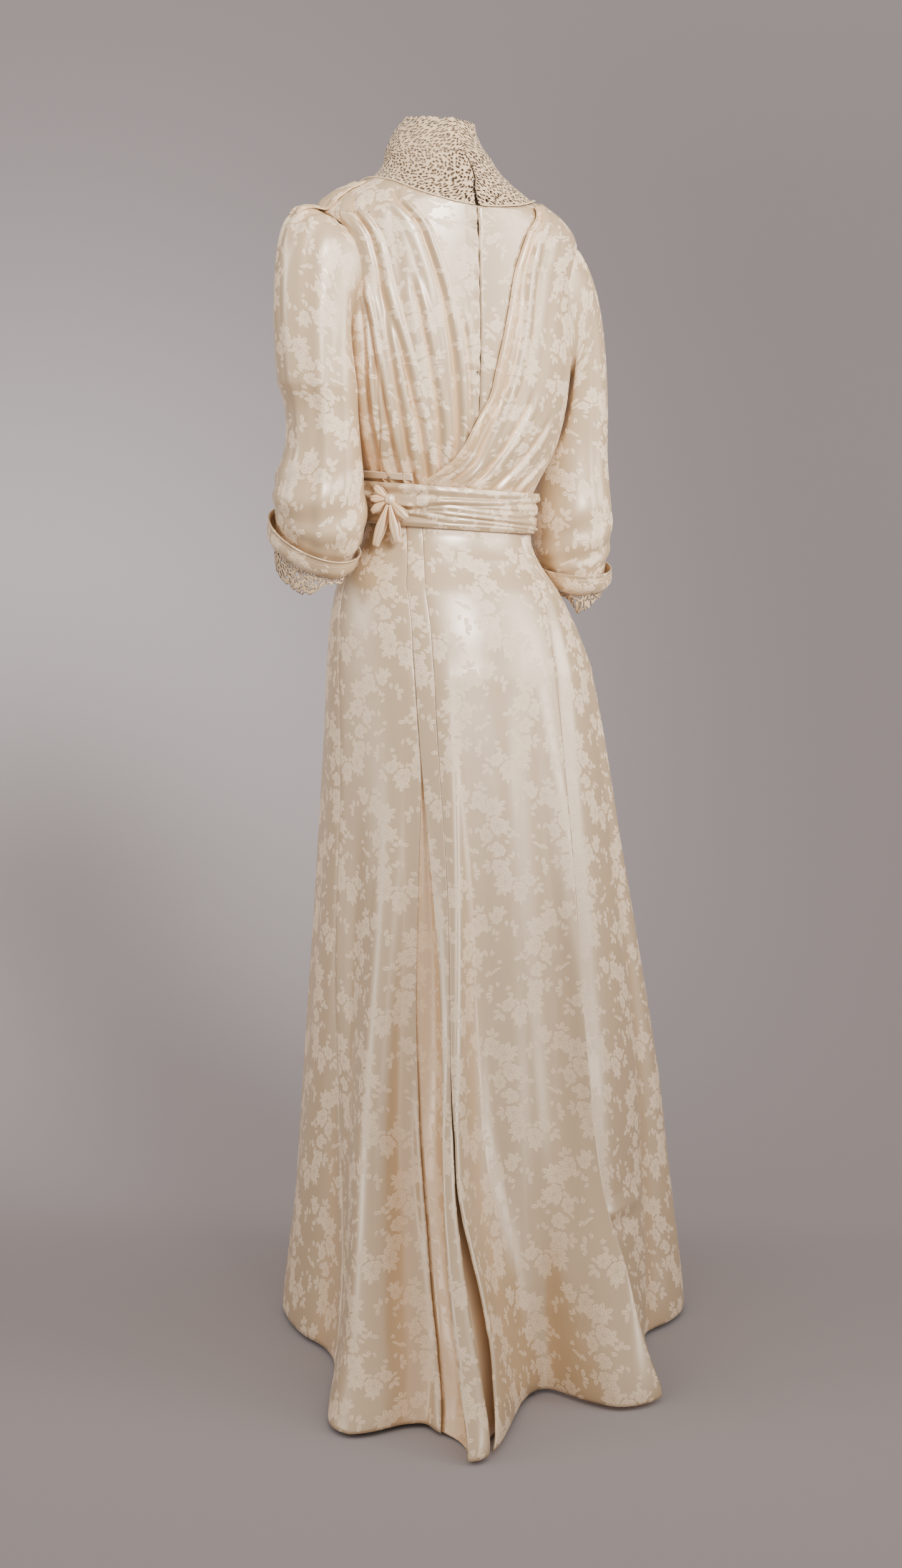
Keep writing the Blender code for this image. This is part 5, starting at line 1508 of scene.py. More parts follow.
def surplice_place(u, v):
    """The angle and place of each point of the surplice, as its shape has them."""
    def angle_at(level):
        lead = edge_angle(SURPLICE_EDGE, between(BODY, level)[0])
        return lead + (right_back_edge(level) - lead) * np.clip(u, 0, 1) ** SURPLICE_CROWDING
    return settled(angle_at, v, SURPLICE_BELOW)


def draped(u, v):
    """The surplice over the body, with its even folds softened."""
    angle, level = surplice_place(u, v)
    height = between(BODY, level)[0]
    behind = angle - edge_angle(SURPLICE_EDGE, height)
    over_pleats = OVER_PLEATS * (0.4 + 0.6 * ease((height - WAIST_HEIGHT) / 0.03))
    over_pleats = over_pleats * ease((94.0 - angle) / 10.0) * ease((1.20 - height) / 0.05)
    over_shoulder = SHOULDER_LIFT * ease((height - 1.30) / 0.03)
    lift = LAYER + over_pleats + over_shoulder + 0.25 * surplice_out(behind, level)
    return moved_out(body, lift, BODY_STEPS)(angle, level)


def surplice_relief(x, y, u, v):
    """The main folds, and a rolled leading edge."""
    angle, level = surplice_place(u, v)
    folds = fold_lines(DRAPE_LINES, angle, between(BODY, level)[0])
    edge = x - x.min(axis=1, keepdims=True)
    folded = 0.0016 * hump((edge - 0.005) / 0.006) - 0.0008 * np.exp(-edge / 0.001)
    return folds * ease(edge / 0.016) + folded - 0.0018 * hump((edge - 0.0165) / 0.005)


def surplice_painted_light_and_shade(x, y, u, v):
    """Painted light along the doubled edge, where light comes through, and painted shade at the roots of the
    folds.
    """
    edge = x - x.min(axis=1, keepdims=True)
    level = surplice_place(u, v)[1]
    root = 0.5 * ease((1.075 - between(BODY, level)[0]) / 0.035)
    return np.maximum(0.7 * ease((0.020 - edge) / 0.012), root)


cloth("surplice_right_cloth", draped, 150, 130, DAMASK_SURPLICE, ["surplice_right"], surplice_relief,
      painted_light_and_shade=surplice_painted_light_and_shade)

# %% [markdown]
# ## Neckline and lace
#
# A cord of silk edges the bodice's neck. Above it stands the lace: a yoke in three pieces that closes
# the base of the neck, and a tall collar that laps over itself at the back, where small hooks hold it.

# %% A thin cord along a line
STRAND_END = 0.45


def strand(name, centres, width, depth, facing, finish, nodes, slot, sides=10):
    """A closed tube along a line of points: a grid whose long edges are welded and ends filled."""
    mesh = bmesh.new()
    centres = np.asarray(centres, float)
    forward = np.gradient(centres, axis=0)
    forward = forward / np.linalg.norm(forward, axis=1, keepdims=True)
    facing = np.broadcast_to(facing, centres.shape)
    sideways = np.cross(forward, facing)
    sideways = sideways / np.linalg.norm(sideways, axis=1, keepdims=True)
    outward = np.cross(sideways, forward)
    made = bmesh.ops.create_grid(mesh, x_segments=sides, y_segments=len(centres) - 1, size=1.0)
    ends = {}
    for point in made["verts"]:
        corner = round((point.co.x + 1) / 2 * sides)
        number = round((point.co.y + 1) / 2 * (len(centres) - 1))
        turn = 2 * math.pi * corner / sides
        small = STRAND_END if number in (0, len(centres) - 1) else 1.0
        point.co = Vector(centres[number] + sideways[number] * width / 2 * small * math.cos(turn)
                          + outward[number] * depth / 2 * small * math.sin(turn))
        ends.setdefault((number, corner % sides), []).append(point)
    bmesh.ops.weld_verts(mesh, targetmap={pair[1]: pair[0] for pair in ends.values() if len(pair) == 2})
    bmesh.ops.holes_fill(mesh, edges=mesh.edges, sides=0)
    bmesh.ops.recalc_face_normals(mesh, faces=mesh.faces)
    return dress(name, mesh, finish, nodes, 0, False)


PIPING_OUT = 0.0026
PIPING_THICK = 0.0022
PIPING_PLACE = 0.02
PIPING_START = 91.2
PIPING_END = 448.8
piping_turn = np.linspace(PIPING_START, PIPING_END, 200)
piping_level = neck_place(piping_turn) + PIPING_PLACE
piping_facing = normal(body, piping_turn, piping_level, BODY_STEPS)
strand("neckline_cord", body(piping_turn, piping_level) + piping_facing * PIPING_OUT, PIPING_THICK,
       PIPING_THICK, piping_facing, CORD_SILK, ["neckline_piping"], "silk")

# %% Lace yoke and collar
COLLAR_FOOT = 12.0
COLLAR_TOP = 14.0
COLLAR_LAP = 5.0
COLLAR_LAP_START = 1.4
COLLAR_LAP_WHOLE = 2.0
COLLAR_LAP_OUT = 0.0026
COLLAR_GAP = 0.012
YOKE_LAP = 0.03
LACE_LEAN = 8.0
LACE_LEAN_AT = 11.6
LACE_LEAN_REACH = 2.3
LACE_THICK = 0.0010


def lace_opening(level):
    """The line where the lace opens at the back, which leans to the right below the collar."""
    return 90.0 + LACE_LEAN * hump((level - LACE_LEAN_AT) / LACE_LEAN_REACH)


def yoke(start, end, start_leans, end_leans):
    """A piece of the yoke between two upright edges, either of which may follow the opening."""
    def place(u, v):
        top = COLLAR_FOOT - COLLAR_GAP
        level = NECK_PLACE + (top - NECK_PLACE) * v
        lean = lace_opening(level) - 90.0
        for _ in range(2):
            first = start + lean * start_leans
            last = end + lean * end_leans
            angle = first + (last - first) * u
            foot = neck_place(angle) + YOKE_LAP
            level = foot + (top - foot) * v
            lean = lace_opening(level) - 90.0
        return body(angle, level)
    return place


def collar(u, v):
    """The stand collar, whose end laps over its start."""
    foot = COLLAR_FOOT + COLLAR_GAP
    level = foot + (COLLAR_TOP - foot) * v
    lean = lace_opening(level) - 90.0
    start = 90.0 + lean - COLLAR_LAP * COLLAR_LAP_START
    angle = start + (360.0 + COLLAR_LAP * COLLAR_LAP_WHOLE) * u
    lap = COLLAR_LAP_OUT * ease((angle - lean - 430.0) / 14.0)
    return moved_out(body, lap, BODY_STEPS)(angle, level)


def lace_waves(x, y, u, v):
    """Crochet never lies quite flat: low bumps, and a firmer rolled edge at the top."""
    return 0.0005 * np.sin(x * 190) * np.sin(y * 170 + 1) + 0.0006 * np.exp(-(y.max() - y) / 0.0015)


YOKE_COLUMNS = ("side", "from", "to", "start_leans", "end_leans", "across")
YOKE = (("left", 0.2, 89.2, 0, 1, 60), ("right", 90.9, 179.8, 1, 0, 60), ("front", 180.2, 359.8, 0, 0, 80))
describe(YOKE_COLUMNS, yoke=YOKE)
for side, start, end, start_leans, end_leans, across in YOKE:
    cloth(f"lace_yoke_{side}_net", yoke(start, end, start_leans, end_leans), across, 26, LACE_CLOTH,
          [f"lace_yoke_{side}"], lace_waves, thick=LACE_THICK)
cloth("lace_collar_net", collar, 150, 36, LACE_CLOTH, ["lace_collar"], lace_waves, thick=LACE_THICK)

# %% [markdown]
# ## The sleeves
#
# A sleeve is a tube that is gathered into the armhole above and into a cuff below. It is loose, so it
# hangs in long folds and puffs out over the cuff. The grid runs round the arm, and its first and last
# columns are welded.

# %% Sleeve tables
SLEEVE_COLUMNS = ("height", "middle_x", "middle_y", "half_wide", "half_deep", "rise_outward", "fall_back")
SLEEVE_LEFT = (
    (1.150, 0.181, 0.024, 0.049, 0.054, 0.00, 0.00),
    (1.120, 0.177, 0.025, 0.044, 0.050, 0.00, 0.00),
    (1.080, 0.175, 0.024, 0.045, 0.050, 0.00, -0.06),
    (1.050, 0.176, 0.021, 0.050, 0.053, 0.03, -0.14),
    (1.020, 0.177, 0.018, 0.056, 0.057, 0.06, -0.28),
    (0.996, 0.177, 0.014, 0.056, 0.057, 0.08, -0.42),
    (0.980, 0.178, 0.009, 0.051, 0.052, 0.10, -0.50),
    (0.966, 0.179, 0.003, 0.047, 0.048, 0.10, -0.50),
    (0.951, 0.180, -0.003, 0.047, 0.048, 0.10, -0.50),
    (0.931, 0.180, -0.006, 0.045, 0.046, 0.10, -0.50),
    (0.911, 0.180, -0.010, 0.041, 0.042, 0.10, -0.50),
    (0.891, 0.180, -0.014, 0.036, 0.037, 0.10, -0.50),
)
SLEEVE_RIGHT = (
    (1.145, 0.185, -0.026, 0.047, 0.052, 0.00, 0.00),
    (1.105, 0.186, -0.026, 0.046, 0.050, 0.00, 0.00),
    (1.065, 0.187, -0.024, 0.047, 0.050, 0.00, -0.05),
    (1.030, 0.187, -0.022, 0.050, 0.052, 0.02, -0.10),
    (1.000, 0.186, -0.024, 0.052, 0.053, 0.03, -0.18),
    (0.975, 0.185, -0.026, 0.050, 0.052, 0.04, -0.26),
    (0.958, 0.185, -0.024, 0.046, 0.048, 0.05, -0.30),
    (0.942, 0.186, -0.025, 0.044, 0.046, 0.05, -0.30),
    (0.924, 0.187, -0.029, 0.044, 0.046, 0.05, -0.30),
    (0.904, 0.187, -0.033, 0.043, 0.045, 0.05, -0.30),
    (0.884, 0.187, -0.037, 0.042, 0.044, 0.05, -0.30),
    (0.864, 0.187, -0.041, 0.041, 0.043, 0.05, -0.30),
)
describe(SLEEVE_COLUMNS, left_sleeve=SLEEVE_LEFT, right_sleeve=SLEEVE_RIGHT)
SLEEVE_END = 8.0
CAP_SHARE = 6 / 14
CAP_PLEATS = 15
CAP_PLEAT_HEIGHT = 0.0022
CAP_CROWDING = 0.5
CAP_INSIDE = 0.0017
CAP_INSIDE_ENDS = 0.14
UNDERARM_RISE = 0.002
CAP_COLUMNS = ("first_reach", "first_rise", "fullness")
CAP_LEFT = (0.98, 0.026, 0.010)
CAP_RIGHT = (0.52, -0.020, -0.006)
describe(CAP_COLUMNS, caps=(CAP_LEFT, CAP_RIGHT))
CLEAR_LEFT = 0.0070
CLEAR_RIGHT = 0.0100
CLEAR_SIDE = 0.0020
CLEAR_SOFTNESS = 0.003
CUFF_ROOM = 0.0075
CUFF_ROOM_FROM = 1.02
CUFF_ROOM_OVER = 0.06
SASH_HEIGHT = 1.014
SASH_REACH = 0.0125


def body_side(y, height, margin):
    """How far the body or the hip, grown by a margin, reaches sideways at a depth and height."""
    _, _, _, half_width, back, front = between(BODY, row_at(BODY, height))
    _, left, right, hip_back, hip_front = between(SKIRT, row_at(SKIRT, height))
    upper = height > WAIST_HEIGHT
    grown = margin + SASH_REACH * hump((height - SASH_HEIGHT) / 0.06)
    width = np.where(upper, half_width, np.maximum(left, right)) + grown
    depth = np.where(y > 0, np.where(upper, back, hip_back), np.where(upper, front, hip_front)) + grown
    return width * np.sqrt(np.clip(1 - (y / depth) ** 2, 0, 1))


def kept_clear(x, y, height, margin):
    """Push a sleeve's points outward until they clear the body, as soft cloth lies against it."""
    cuff_room = CUFF_ROOM * ease((CUFF_ROOM_FROM - height) / CUFF_ROOM_OVER)
    limit = body_side(y, height, margin) + CLEAR_SIDE + cuff_room
    return limit + CLEAR_SOFTNESS * np.logaddexp(0, (x - limit) / CLEAR_SOFTNESS)


def sleeve_ring(rows, margin, turn, place):
    """A ring of the sleeve at a place in its table, in the left sleeve's own sense."""
    height, middle_x, middle_y, half_wide, half_deep, rise, fall = between(rows, place)
    x = middle_x + half_wide * np.cos(turn)
    y = middle_y + half_deep * np.sin(turn)
    z = height + rise * (x - middle_x) + fall * (y - middle_y)
    return kept_clear(x, y, z, margin), y, z


def armhole_point(turn):
    """A point just inside the left armhole's edge, from the shoulder round the back to under the arm."""
    place = ARMHOLE_MIDDLE + (ARMHOLE_HALF - CAP_INSIDE_ENDS) * np.cos(turn)
    height, _, _, half_width, back, front = between(BODY, place)
    depth = np.where(np.sin(turn) > 0, back, front)
    reach = np.where(np.sin(turn) > 0, ARMHOLE_BACK, ARMHOLE_FRONT) - CAP_INSIDE
    y = reach * np.sin(turn)
    return half_width * np.sqrt(1 - (y / depth) ** 2), y, height


def ring_turn(u, side):
    """Evenly round a sleeve, so that both sleeves' walls face outward."""
    return 2 * np.pi * (u if side > 0 else 1 - u)


def crowded_turn(u, side):
    """Round a sleeve with its columns closer together at the top of the shoulder."""
    turn = ring_turn(u, side)
    return turn - CAP_CROWDING * np.sin(turn)


def sleeve(rows, cap, margin, side):
    """The whole sleeve: from the armhole over the cap, then down its rings."""
    first_reach, first_rise, fullness = cap

    def place(u, v):
        turn = crowded_turn(u, side)
        outer = np.clip(np.cos(turn), 0, 1)
        start_x, start_y, start_z = armhole_point(turn)
        end_x, end_y, end_z = sleeve_ring(rows, margin, turn, np.zeros_like(u))
        first_x = start_x + (end_x - start_x) * (0.75 + (first_reach - 0.75) * outer)
        first_y = start_y + (end_y - start_y) * 0.35
        first_z = start_z + first_rise * outer + UNDERARM_RISE * (1 - outer)
        last_x = end_x + fullness * outer
        last_y = start_y + (end_y - start_y) * 0.8
        last_z = end_z + (start_z - end_z) * 0.62
        first_x = kept_clear(first_x, first_y, first_z, margin)
        last_x = kept_clear(last_x, last_y, last_z, margin)
        share = np.clip(v / CAP_SHARE, 0, 1)
        left = 1 - share
        weights = (left ** 3, 3 * left ** 2 * share, 3 * left * share ** 2, share ** 3)
        path = ((start_x, first_x, last_x, end_x), (start_y, first_y, last_y, end_y),
                (start_z, first_z, last_z, end_z))
        x, y, z = (sum(weight * value for weight, value in zip(weights, values)) for values in path)
        level = np.clip((v - CAP_SHARE) / (1 - CAP_SHARE), 0, 1) * SLEEVE_END
        low_x, low_y, low_z = sleeve_ring(rows, margin, turn, level)
        lower = v > CAP_SHARE
        x = np.where(lower, low_x, x)
        return leaned(side * x, np.where(lower, low_y, y), np.where(lower, low_z, z))

    def gathered(u, v):
        top = wrapped(np.degrees(crowded_turn(u, 1)))
        ripple = np.cos(np.radians(top) * CAP_PLEATS) * hump(top / 75)
        return CAP_PLEAT_HEIGHT * ripple * ease(v / 0.05) * ease((0.30 - v) / 0.20)
    return moved_out(place, gathered, CAP_STEPS)


def arm_surface(rows, margin, side):
    """The sleeve's rings as a surface of the turn and the place."""
    def place(turn, level):
        x, y, z = sleeve_ring(rows, margin, turn, level)
        return leaned(side * x, y, z)
    return place


# %% [markdown]
# ## The sleeves' folds
#
# A full sleeve falls in a few long folds that twist a little round the arm, each one row of a table.
# Above the cuff it is drawn into small gathers: sine waves of two periods, so they don't look combed.

# %% Folds of the sleeves
SLEEVE_FOLD_COLUMNS = ("turn", "from_v", "to_v", "half_wide", "deep", "twist")
SLEEVE_FOLDS_LEFT = (
    (20, 0.12, 0.80, 13, 0.0036, 14),
    (48, 0.10, 0.92, 12, -0.0030, 10),
    (72, 0.10, 0.96, 12, 0.0038, -6),
    (98, 0.14, 0.96, 12, -0.0032, -12),
    (-20, 0.12, 0.90, 13, -0.0030, 8),
    (-45, 0.15, 0.95, 14, 0.0034, -8),
    (-80, 0.15, 0.95, 14, -0.0028, 6),
)
SLEEVE_FOLDS_RIGHT = (
    (15, 0.12, 0.85, 13, 0.0030, 10),
    (42, 0.10, 0.92, 12, -0.0028, 10),
    (70, 0.10, 0.94, 12, 0.0032, -6),
    (98, 0.14, 0.96, 12, -0.0028, -12),
    (-30, 0.12, 0.90, 14, 0.0030, 8),
    (-75, 0.15, 0.95, 14, -0.0028, 6),
)
describe(SLEEVE_FOLD_COLUMNS, left_folds=SLEEVE_FOLDS_LEFT, right_folds=SLEEVE_FOLDS_RIGHT)


def sleeve_folds(rows):
    """Long folds down the sleeve, and fine gathers where the cuff holds the puff."""
    def relief(x, y, u, v):
        turn = wrapped(np.degrees(crowded_turn(u, 1)))
        out = np.zeros_like(u)
        for middle, low, high, half_wide, deep, twist in rows:
            fade = ease((v - low) / 0.14) * ease((high - v) / 0.12)
            out = out + 0.45 * deep * hump((turn - middle - twist * v) / half_wide) * fade
        gathers = np.sin(np.radians(turn) * 34) + 0.5 * np.sin(np.radians(turn) * 53 + 1)
        out = out + 0.0010 * gathers * ease((v - 0.90) / 0.06)
        out = out + 0.0016 * np.cos(np.radians(turn) * 22) * hump(turn / 85) * ease((0.15 - v) / 0.12)
        return out + 0.0016 * np.sin(v * 60 + np.radians(turn) * 3) * hump((v - 0.74) / 0.16)
    return relief


def sleeve_painted_shade(x, y, u, v):
    """Painted shade: the gathers above the cuff are tinted warm, and the seam at the armhole a little."""
    return np.maximum(ease((v - 0.925) / 0.045), 0.45 * np.exp(-v / 0.015))


# %% [markdown]
# ## Cuffs and their lace
#
# Each sleeve ends in a turned-back band with two rows of running stitches, and a scalloped strip of
# lace with round eyelets hangs from under it. Both follow the sleeve's own rings, a little further
# out. Eyelets are faces taken out of the frill, and stitches a thread that goes up and down.

# %% Cuffs and their lace
CUFF_COLUMNS = ("place", "out")
CUFF = ((6.35, 0.0078), (6.95, 0.0096), (7.55, 0.0092), (8.00, 0.0036))
CUFF_FLATTER = 0.2
FRILL_COLUMNS = ("turn", "drop")
FRILL_LEFT = (
    (-180, 0.012), (-140, 0.014), (-100, 0.022), (-24, 0.028), (54, 0.030), (70, 0.024),
    (90, 0.010), (140, 0.010), (180, 0.011),
)
FRILL_RIGHT = (
    (-180, 0.012), (-100, 0.014), (0, 0.014), (62, 0.013), (78, 0.024), (105, 0.030), (120, 0.026),
    (130, 0.014), (180, 0.012),
)
SLEEVES = (
    ("left", 1, SLEEVE_LEFT, CAP_LEFT, CLEAR_LEFT, FRILL_LEFT),
    ("right", -1, SLEEVE_RIGHT, CAP_RIGHT, CLEAR_RIGHT, FRILL_RIGHT),
)
FRILL_GAP = 0.0011
EYELETS = 6
EYELET = 0.0046
EYELET_PERIOD = 0.0246
EYELET_TOP = 0.0080
SCALLOP_DEEP = 0.0030
SCALLOP_FROM = 0.011
SCALLOP_OVER = 0.012
FRILL_SPLIT = 0.001
SLEEVE_LAST_ROW = 0.020
FRILL_FINE = 6
EYELET_SHARE = 0.16
STITCH_LONG = 0.0034
STITCH_WIDE = 0.0006
STITCH_DEEP = 0.0005
STITCH_DIP = 0.0008
STITCH_STEPS = 8
CUFF_WALL = 0.0020
STITCH_ROWS = (0.0045, 0.0078)
FRILL_THICK = 0.0009
SLEEVE_NODES = {"left": ["sleeve_left_outer", "sleeve_left_inner"], "right": ["sleeve_right"]}
describe(CUFF_COLUMNS, cuff=CUFF)
describe(FRILL_COLUMNS, left_frill=FRILL_LEFT, right_frill=FRILL_RIGHT)


def cuff(rows, margin, side):
    """The band that is turned back over the end of the sleeve."""
    def place(u, v):
        level, out = between(CUFF, v * (len(CUFF) - 1))
        turn = crowded_turn(u, side)
        beside_body = CUFF_FLATTER * ease(-np.cos(turn) * 1.5)
        lift = -side * out * (1 - beside_body)
        return moved_out(arm_surface(rows, margin, side), lift, ARM_STEPS)(turn, level)
    return place


def frill(rows, margin, drops, side, begin):
    """Half of the lace under a cuff, with a scalloped edge and eyelets in its middle row."""
    def place(u, v):
        step = u * EYELETS
        inside = step - np.floor(step)
        edge = (1 - EYELET / EYELET_PERIOD) / 2
        inside = np.interp(inside, (0, 1 / 3, 2 / 3, 1), (0, edge, 1 - edge, 1))
        share = begin + FRILL_SPLIT + (0.5 - 2 * FRILL_SPLIT) * (np.floor(step) + inside) / EYELETS
        turn = ring_turn(share, side)
        drop = between(drops, row_at(drops, wrapped(np.degrees(turn))))[1]
        notch = SCALLOP_DEEP * np.clip((drop - SCALLOP_FROM) / SCALLOP_OVER, 0, 1)
        drop = drop - notch * (np.abs(inside - 0.5) > 0.4) * ease((v - 0.7) / 0.3)
        down = np.interp(v, (0, 1 / 3, 2 / 3, 1), (0, 1, 2, 3))
        top = np.full(np.shape(u), FRILL_GAP)
        high = np.minimum(EYELET_TOP, drop * 0.45)
        low = np.minimum(high + EYELET, drop * 0.75)
        depth = np.where(down < 1, top + (high - top) * down, high + (low - high) * (down - 1))
        depth = np.where(down > 2, low + (drop - low) * (down - 2), depth)
        return arm_surface(rows, margin, side)(turn, SLEEVE_END + depth / SLEEVE_LAST_ROW)
    return place


def cuff_relief(x, y, u, v):
    """A rolled lip along the top of the cuff, and a dip under each of its two rows of stitches."""
    down = y.max() - y
    lip = 0.0011 * np.exp(-(y / 0.0022) ** 2)
    dips = sum(np.exp(-((y - row) / STITCH_DIP) ** 2) for row in STITCH_ROWS)
    return lip - STITCH_DEEP * dips + 0.0006 * np.sin(u * 60) * v - 0.0008 * np.exp(-down / 0.002)


def running_stitch(name, place, down, relief, outward):
    """One thread round a tube, a little way below its top edge, that comes up for every stitch."""
    rows, columns = 61, 151
    v, u = np.meshgrid(np.linspace(0, 1, rows), np.linspace(0, 1, columns), indexing="ij")
    points = place(u, v)
    x, y = cloth_map(points, True)
    points = points + grid_normals(points) * (relief(x, y, u, v) * outward)[..., None]
    facing = grid_normals(points) * outward
    line, lifts = [], []
    for column in range(columns):
        at = np.interp(down, y[:, column], np.arange(rows))
        line.append([np.interp(at, np.arange(rows), points[:, column, axis]) for axis in range(3)])
        lifts.append(facing[int(at), column])
    line, lifts = np.array(line), np.array(lifts)
    along = np.concatenate(([0.0], np.cumsum(np.linalg.norm(np.diff(line, axis=0), axis=1))))
    stitches = round(along[-1] / STITCH_LONG)
    fine = np.linspace(0, along[-1], stitches * STITCH_STEPS + 1)
    line = np.stack([np.interp(fine, along, line[:, axis]) for axis in range(3)], axis=1)
    lifts = np.stack([np.interp(fine, along, lifts[:, axis]) for axis in range(3)], axis=1)
    wave = CUFF_WALL / 2 - STITCH_DEEP * np.cos(fine / along[-1] * stitches * 2 * np.pi)
    line = line + lifts * wave[:, None]
    strand(name, line, STITCH_WIDE, STITCH_DEEP, lifts, STITCH_THREAD, [], "silk", 6)
    print(name, "has", stitches, "stitches")


def open_eyelets(piece):
    """Cut the round eyelets out of a frill, by the place of each face in its own repeat."""
    mesh = bmesh.new()
    mesh.from_mesh(piece.data)
    mesh.faces.ensure_lookup_table()
    across = EYELETS * FRILL_FINE * 3
    cut = []
    for number, face in enumerate(mesh.faces):
        u = ((number % across) + 0.5) / across * EYELETS % 1.0
        v = ((number // across) + 0.5) / (FRILL_FINE * 3)
        if math.hypot(u - 0.5, v - 0.5) < EYELET_SHARE:
            cut.append(face)
    bmesh.ops.delete(mesh, geom=cut, context="FACES")
    mesh.to_mesh(piece.data)
    mesh.free()


for name, side, rows, cap, margin, drops in SLEEVES:
    folds = SLEEVE_FOLDS_LEFT if side > 0 else SLEEVE_FOLDS_RIGHT
    cloth(f"sleeve_{name}_cloth", sleeve(rows, cap, margin, side), 150, 130, DAMASK_SLEEVE,
          SLEEVE_NODES[name], sleeve_folds(folds), closed=True, outward=-1, warm=0.7,
          painted_light_and_shade=sleeve_painted_shade)
    cloth(f"cuff_{name}_cloth", cuff(rows, margin, side), 150, 24, DAMASK_CUFF, [f"cuff_{name}"], cuff_relief,
          thick=CUFF_WALL, closed=True, outward=-1)
    for number, down in enumerate(STITCH_ROWS):
        running_stitch(f"cuff_{name}_stitches_{number + 1}", cuff(rows, margin, side), down, cuff_relief, -1)
    for part, begin in (("outer", -0.25), ("inner", 0.25)):
        net = cloth(f"cuff_lace_{name}_{part}_net", frill(rows, margin, drops, side, begin),
                    EYELETS * FRILL_FINE * 3, FRILL_FINE * 3, LACE_CLOTH, [f"cuff_lace_{name}_{part}"],
                    thick=FRILL_THICK, outward=-1)
        open_eyelets(net)

# %% [markdown]
# ## The shoulder band
#
# A band of silk with two folded edges runs from the neck along the left shoulder and out over the
# head of the sleeve, where it hides the gathers. It lies first on the body's form, then on the
# sleeve's, so its shape blends from one surface to the other.

# %% Shoulder band
BAND_LOW = 7.05
BAND_HIGH = 9.10
BAND_START = -15
BAND_WIDE = 31.2
BAND_OUT = 0.0033
BAND_OUT_ON_SLEEVE = -0.0032
BAND_ON_SLEEVE = 0.105
BAND_JOIN = 0.42


def shoulder_band(u, v):
    """The band from its end on the sleeve's head up to the neck."""
    level = BAND_LOW + (BAND_HIGH - BAND_LOW) * np.clip((v - 0.34) / 0.66, 0, 1)
    on_body = moved_out(body, BAND_OUT, BODY_STEPS)(BAND_START + BAND_WIDE * u, level)
    _, side, rows, cap, margin, _ = SLEEVES[0]
    down = BAND_ON_SLEEVE * np.clip(1 - v / BAND_JOIN, 0, 1) + 0.004
    head = sleeve(rows, cap, margin, side)
    on_sleeve = moved_out(head, BAND_OUT_ON_SLEEVE, CAP_STEPS)(-0.15 + 0.235 * u, down)
    share = ease((BAND_JOIN + 0.06 - v) / 0.24)[..., None]
    return on_body * (1 - share) + on_sleeve * share


def band_folds(x, y, u, v):
    """Two folded edges and one long soft fold between them."""
    edges = 0.0016 * hump((u - 0.10) / 0.10) + 0.0016 * hump((u - 0.90) / 0.10)
    folds = edges + 0.0012 * hump((u - 0.48) / 0.16)
    folds = folds - 0.0010 * hump((u - 0.72) / 0.06) + 0.0004 * np.sin(v * 25 + u * 7)
    return folds * ease(v / 0.10) - 0.0024 * ease((0.07 - v) / 0.07)


def band_painted_shade(x, y, u, v):
    """Painted shade: the two folded edges are doubled silk and are tinted warmer."""
    return 0.7 * np.maximum(ease((0.10 - u) / 0.08), ease((u - 0.90) / 0.08))


cloth("shoulder_band_left_cloth", shoulder_band, 60, 80, DAMASK_PLEATS, ["shoulder_band_left"], band_folds,
      painted_light_and_shade=band_painted_shade)

# %% [markdown]
# ## The waist
#
# A plain band closes the bodice's foot, and a soft sash is wound over it and tied in a small bow of
# narrow ribbon. The sash is one long strip, laid in folds that run round the waist.

# %% Sash and waistband
SASH_COLUMNS = ("height", "out")
SASH = (
    (0.990, 0.0038), (0.995, 0.0076), (1.001, 0.0070), (1.007, 0.0096), (1.014, 0.0080),
    (1.021, 0.0110), (1.028, 0.0092), (1.035, 0.0120), (1.041, 0.0112),
)
SASH_WAVE = 0.0012
WAISTBAND_START = -146
WAISTBAND_END = 50
WAISTBAND_FOOT = 1.0490
WAISTBAND_HIGH = 0.0075
WAISTBAND_OUT = 0.0050
KNOT_ANGLE = 35.0
KNOT_HEIGHT = 1.020
KNOT_OUT = 0.0178
KNOT_SIZE = (0.0062, 0.0068, 0.0066)
KNOT_GAP = 0.0001
BOW_COLUMNS = ("name", "direction", "length", "wide")
BOW = (
    ("bow_loop_upper", 143, 0.019, 0.0085),
    ("bow_loop_side", 178, 0.019, 0.0090),
    ("bow_loop_lower", 213, 0.022, 0.0095),
    ("bow_tail_left", 252, 0.054, 0.0110),
    ("bow_tail_right", 283, 0.048, 0.0110),
    ("bow_loop_right", 316, 0.026, 0.0100),
)
LOOP_DEEP = 0.0070
LOOP_SHORT = 0.06
LOOP_NARROW = 0.0030
RIBBON_THICK = 0.0010
SASH_THICK = 0.0010
WAISTBAND_THICK = 0.0014
describe(SASH_COLUMNS, sash=SASH)
describe(BOW_COLUMNS, bow=BOW)


def waist_ring(angle, height):
    """The waist under the sash, straight between the skirt's rows."""
    rows = np.asarray(SKIRT)
    left, right, back, front = (np.interp(height, rows[:, 0], rows[:, column]) for column in range(1, 5))
    turn = np.radians(angle)
    width = np.where(np.cos(turn) > 0, left, right)
    depth = np.where(np.sin(turn) > 0, back, front)
    return leaned(width * np.cos(turn), depth * np.sin(turn), height)


def sash_surface(angle, place):
    """The sash's folds run round the waist and gather towards the knot."""
    height, out = between(SASH, place)
    wave = SASH_WAVE * np.sin(np.radians(angle * 3 + place * 40))
    return moved_out(waist_ring, out + wave, SKIRT_STEPS)(angle, height)


def sash(u, v):
    return sash_surface(KNOT_ANGLE + 360.0 * u, v * (len(SASH) - 1))


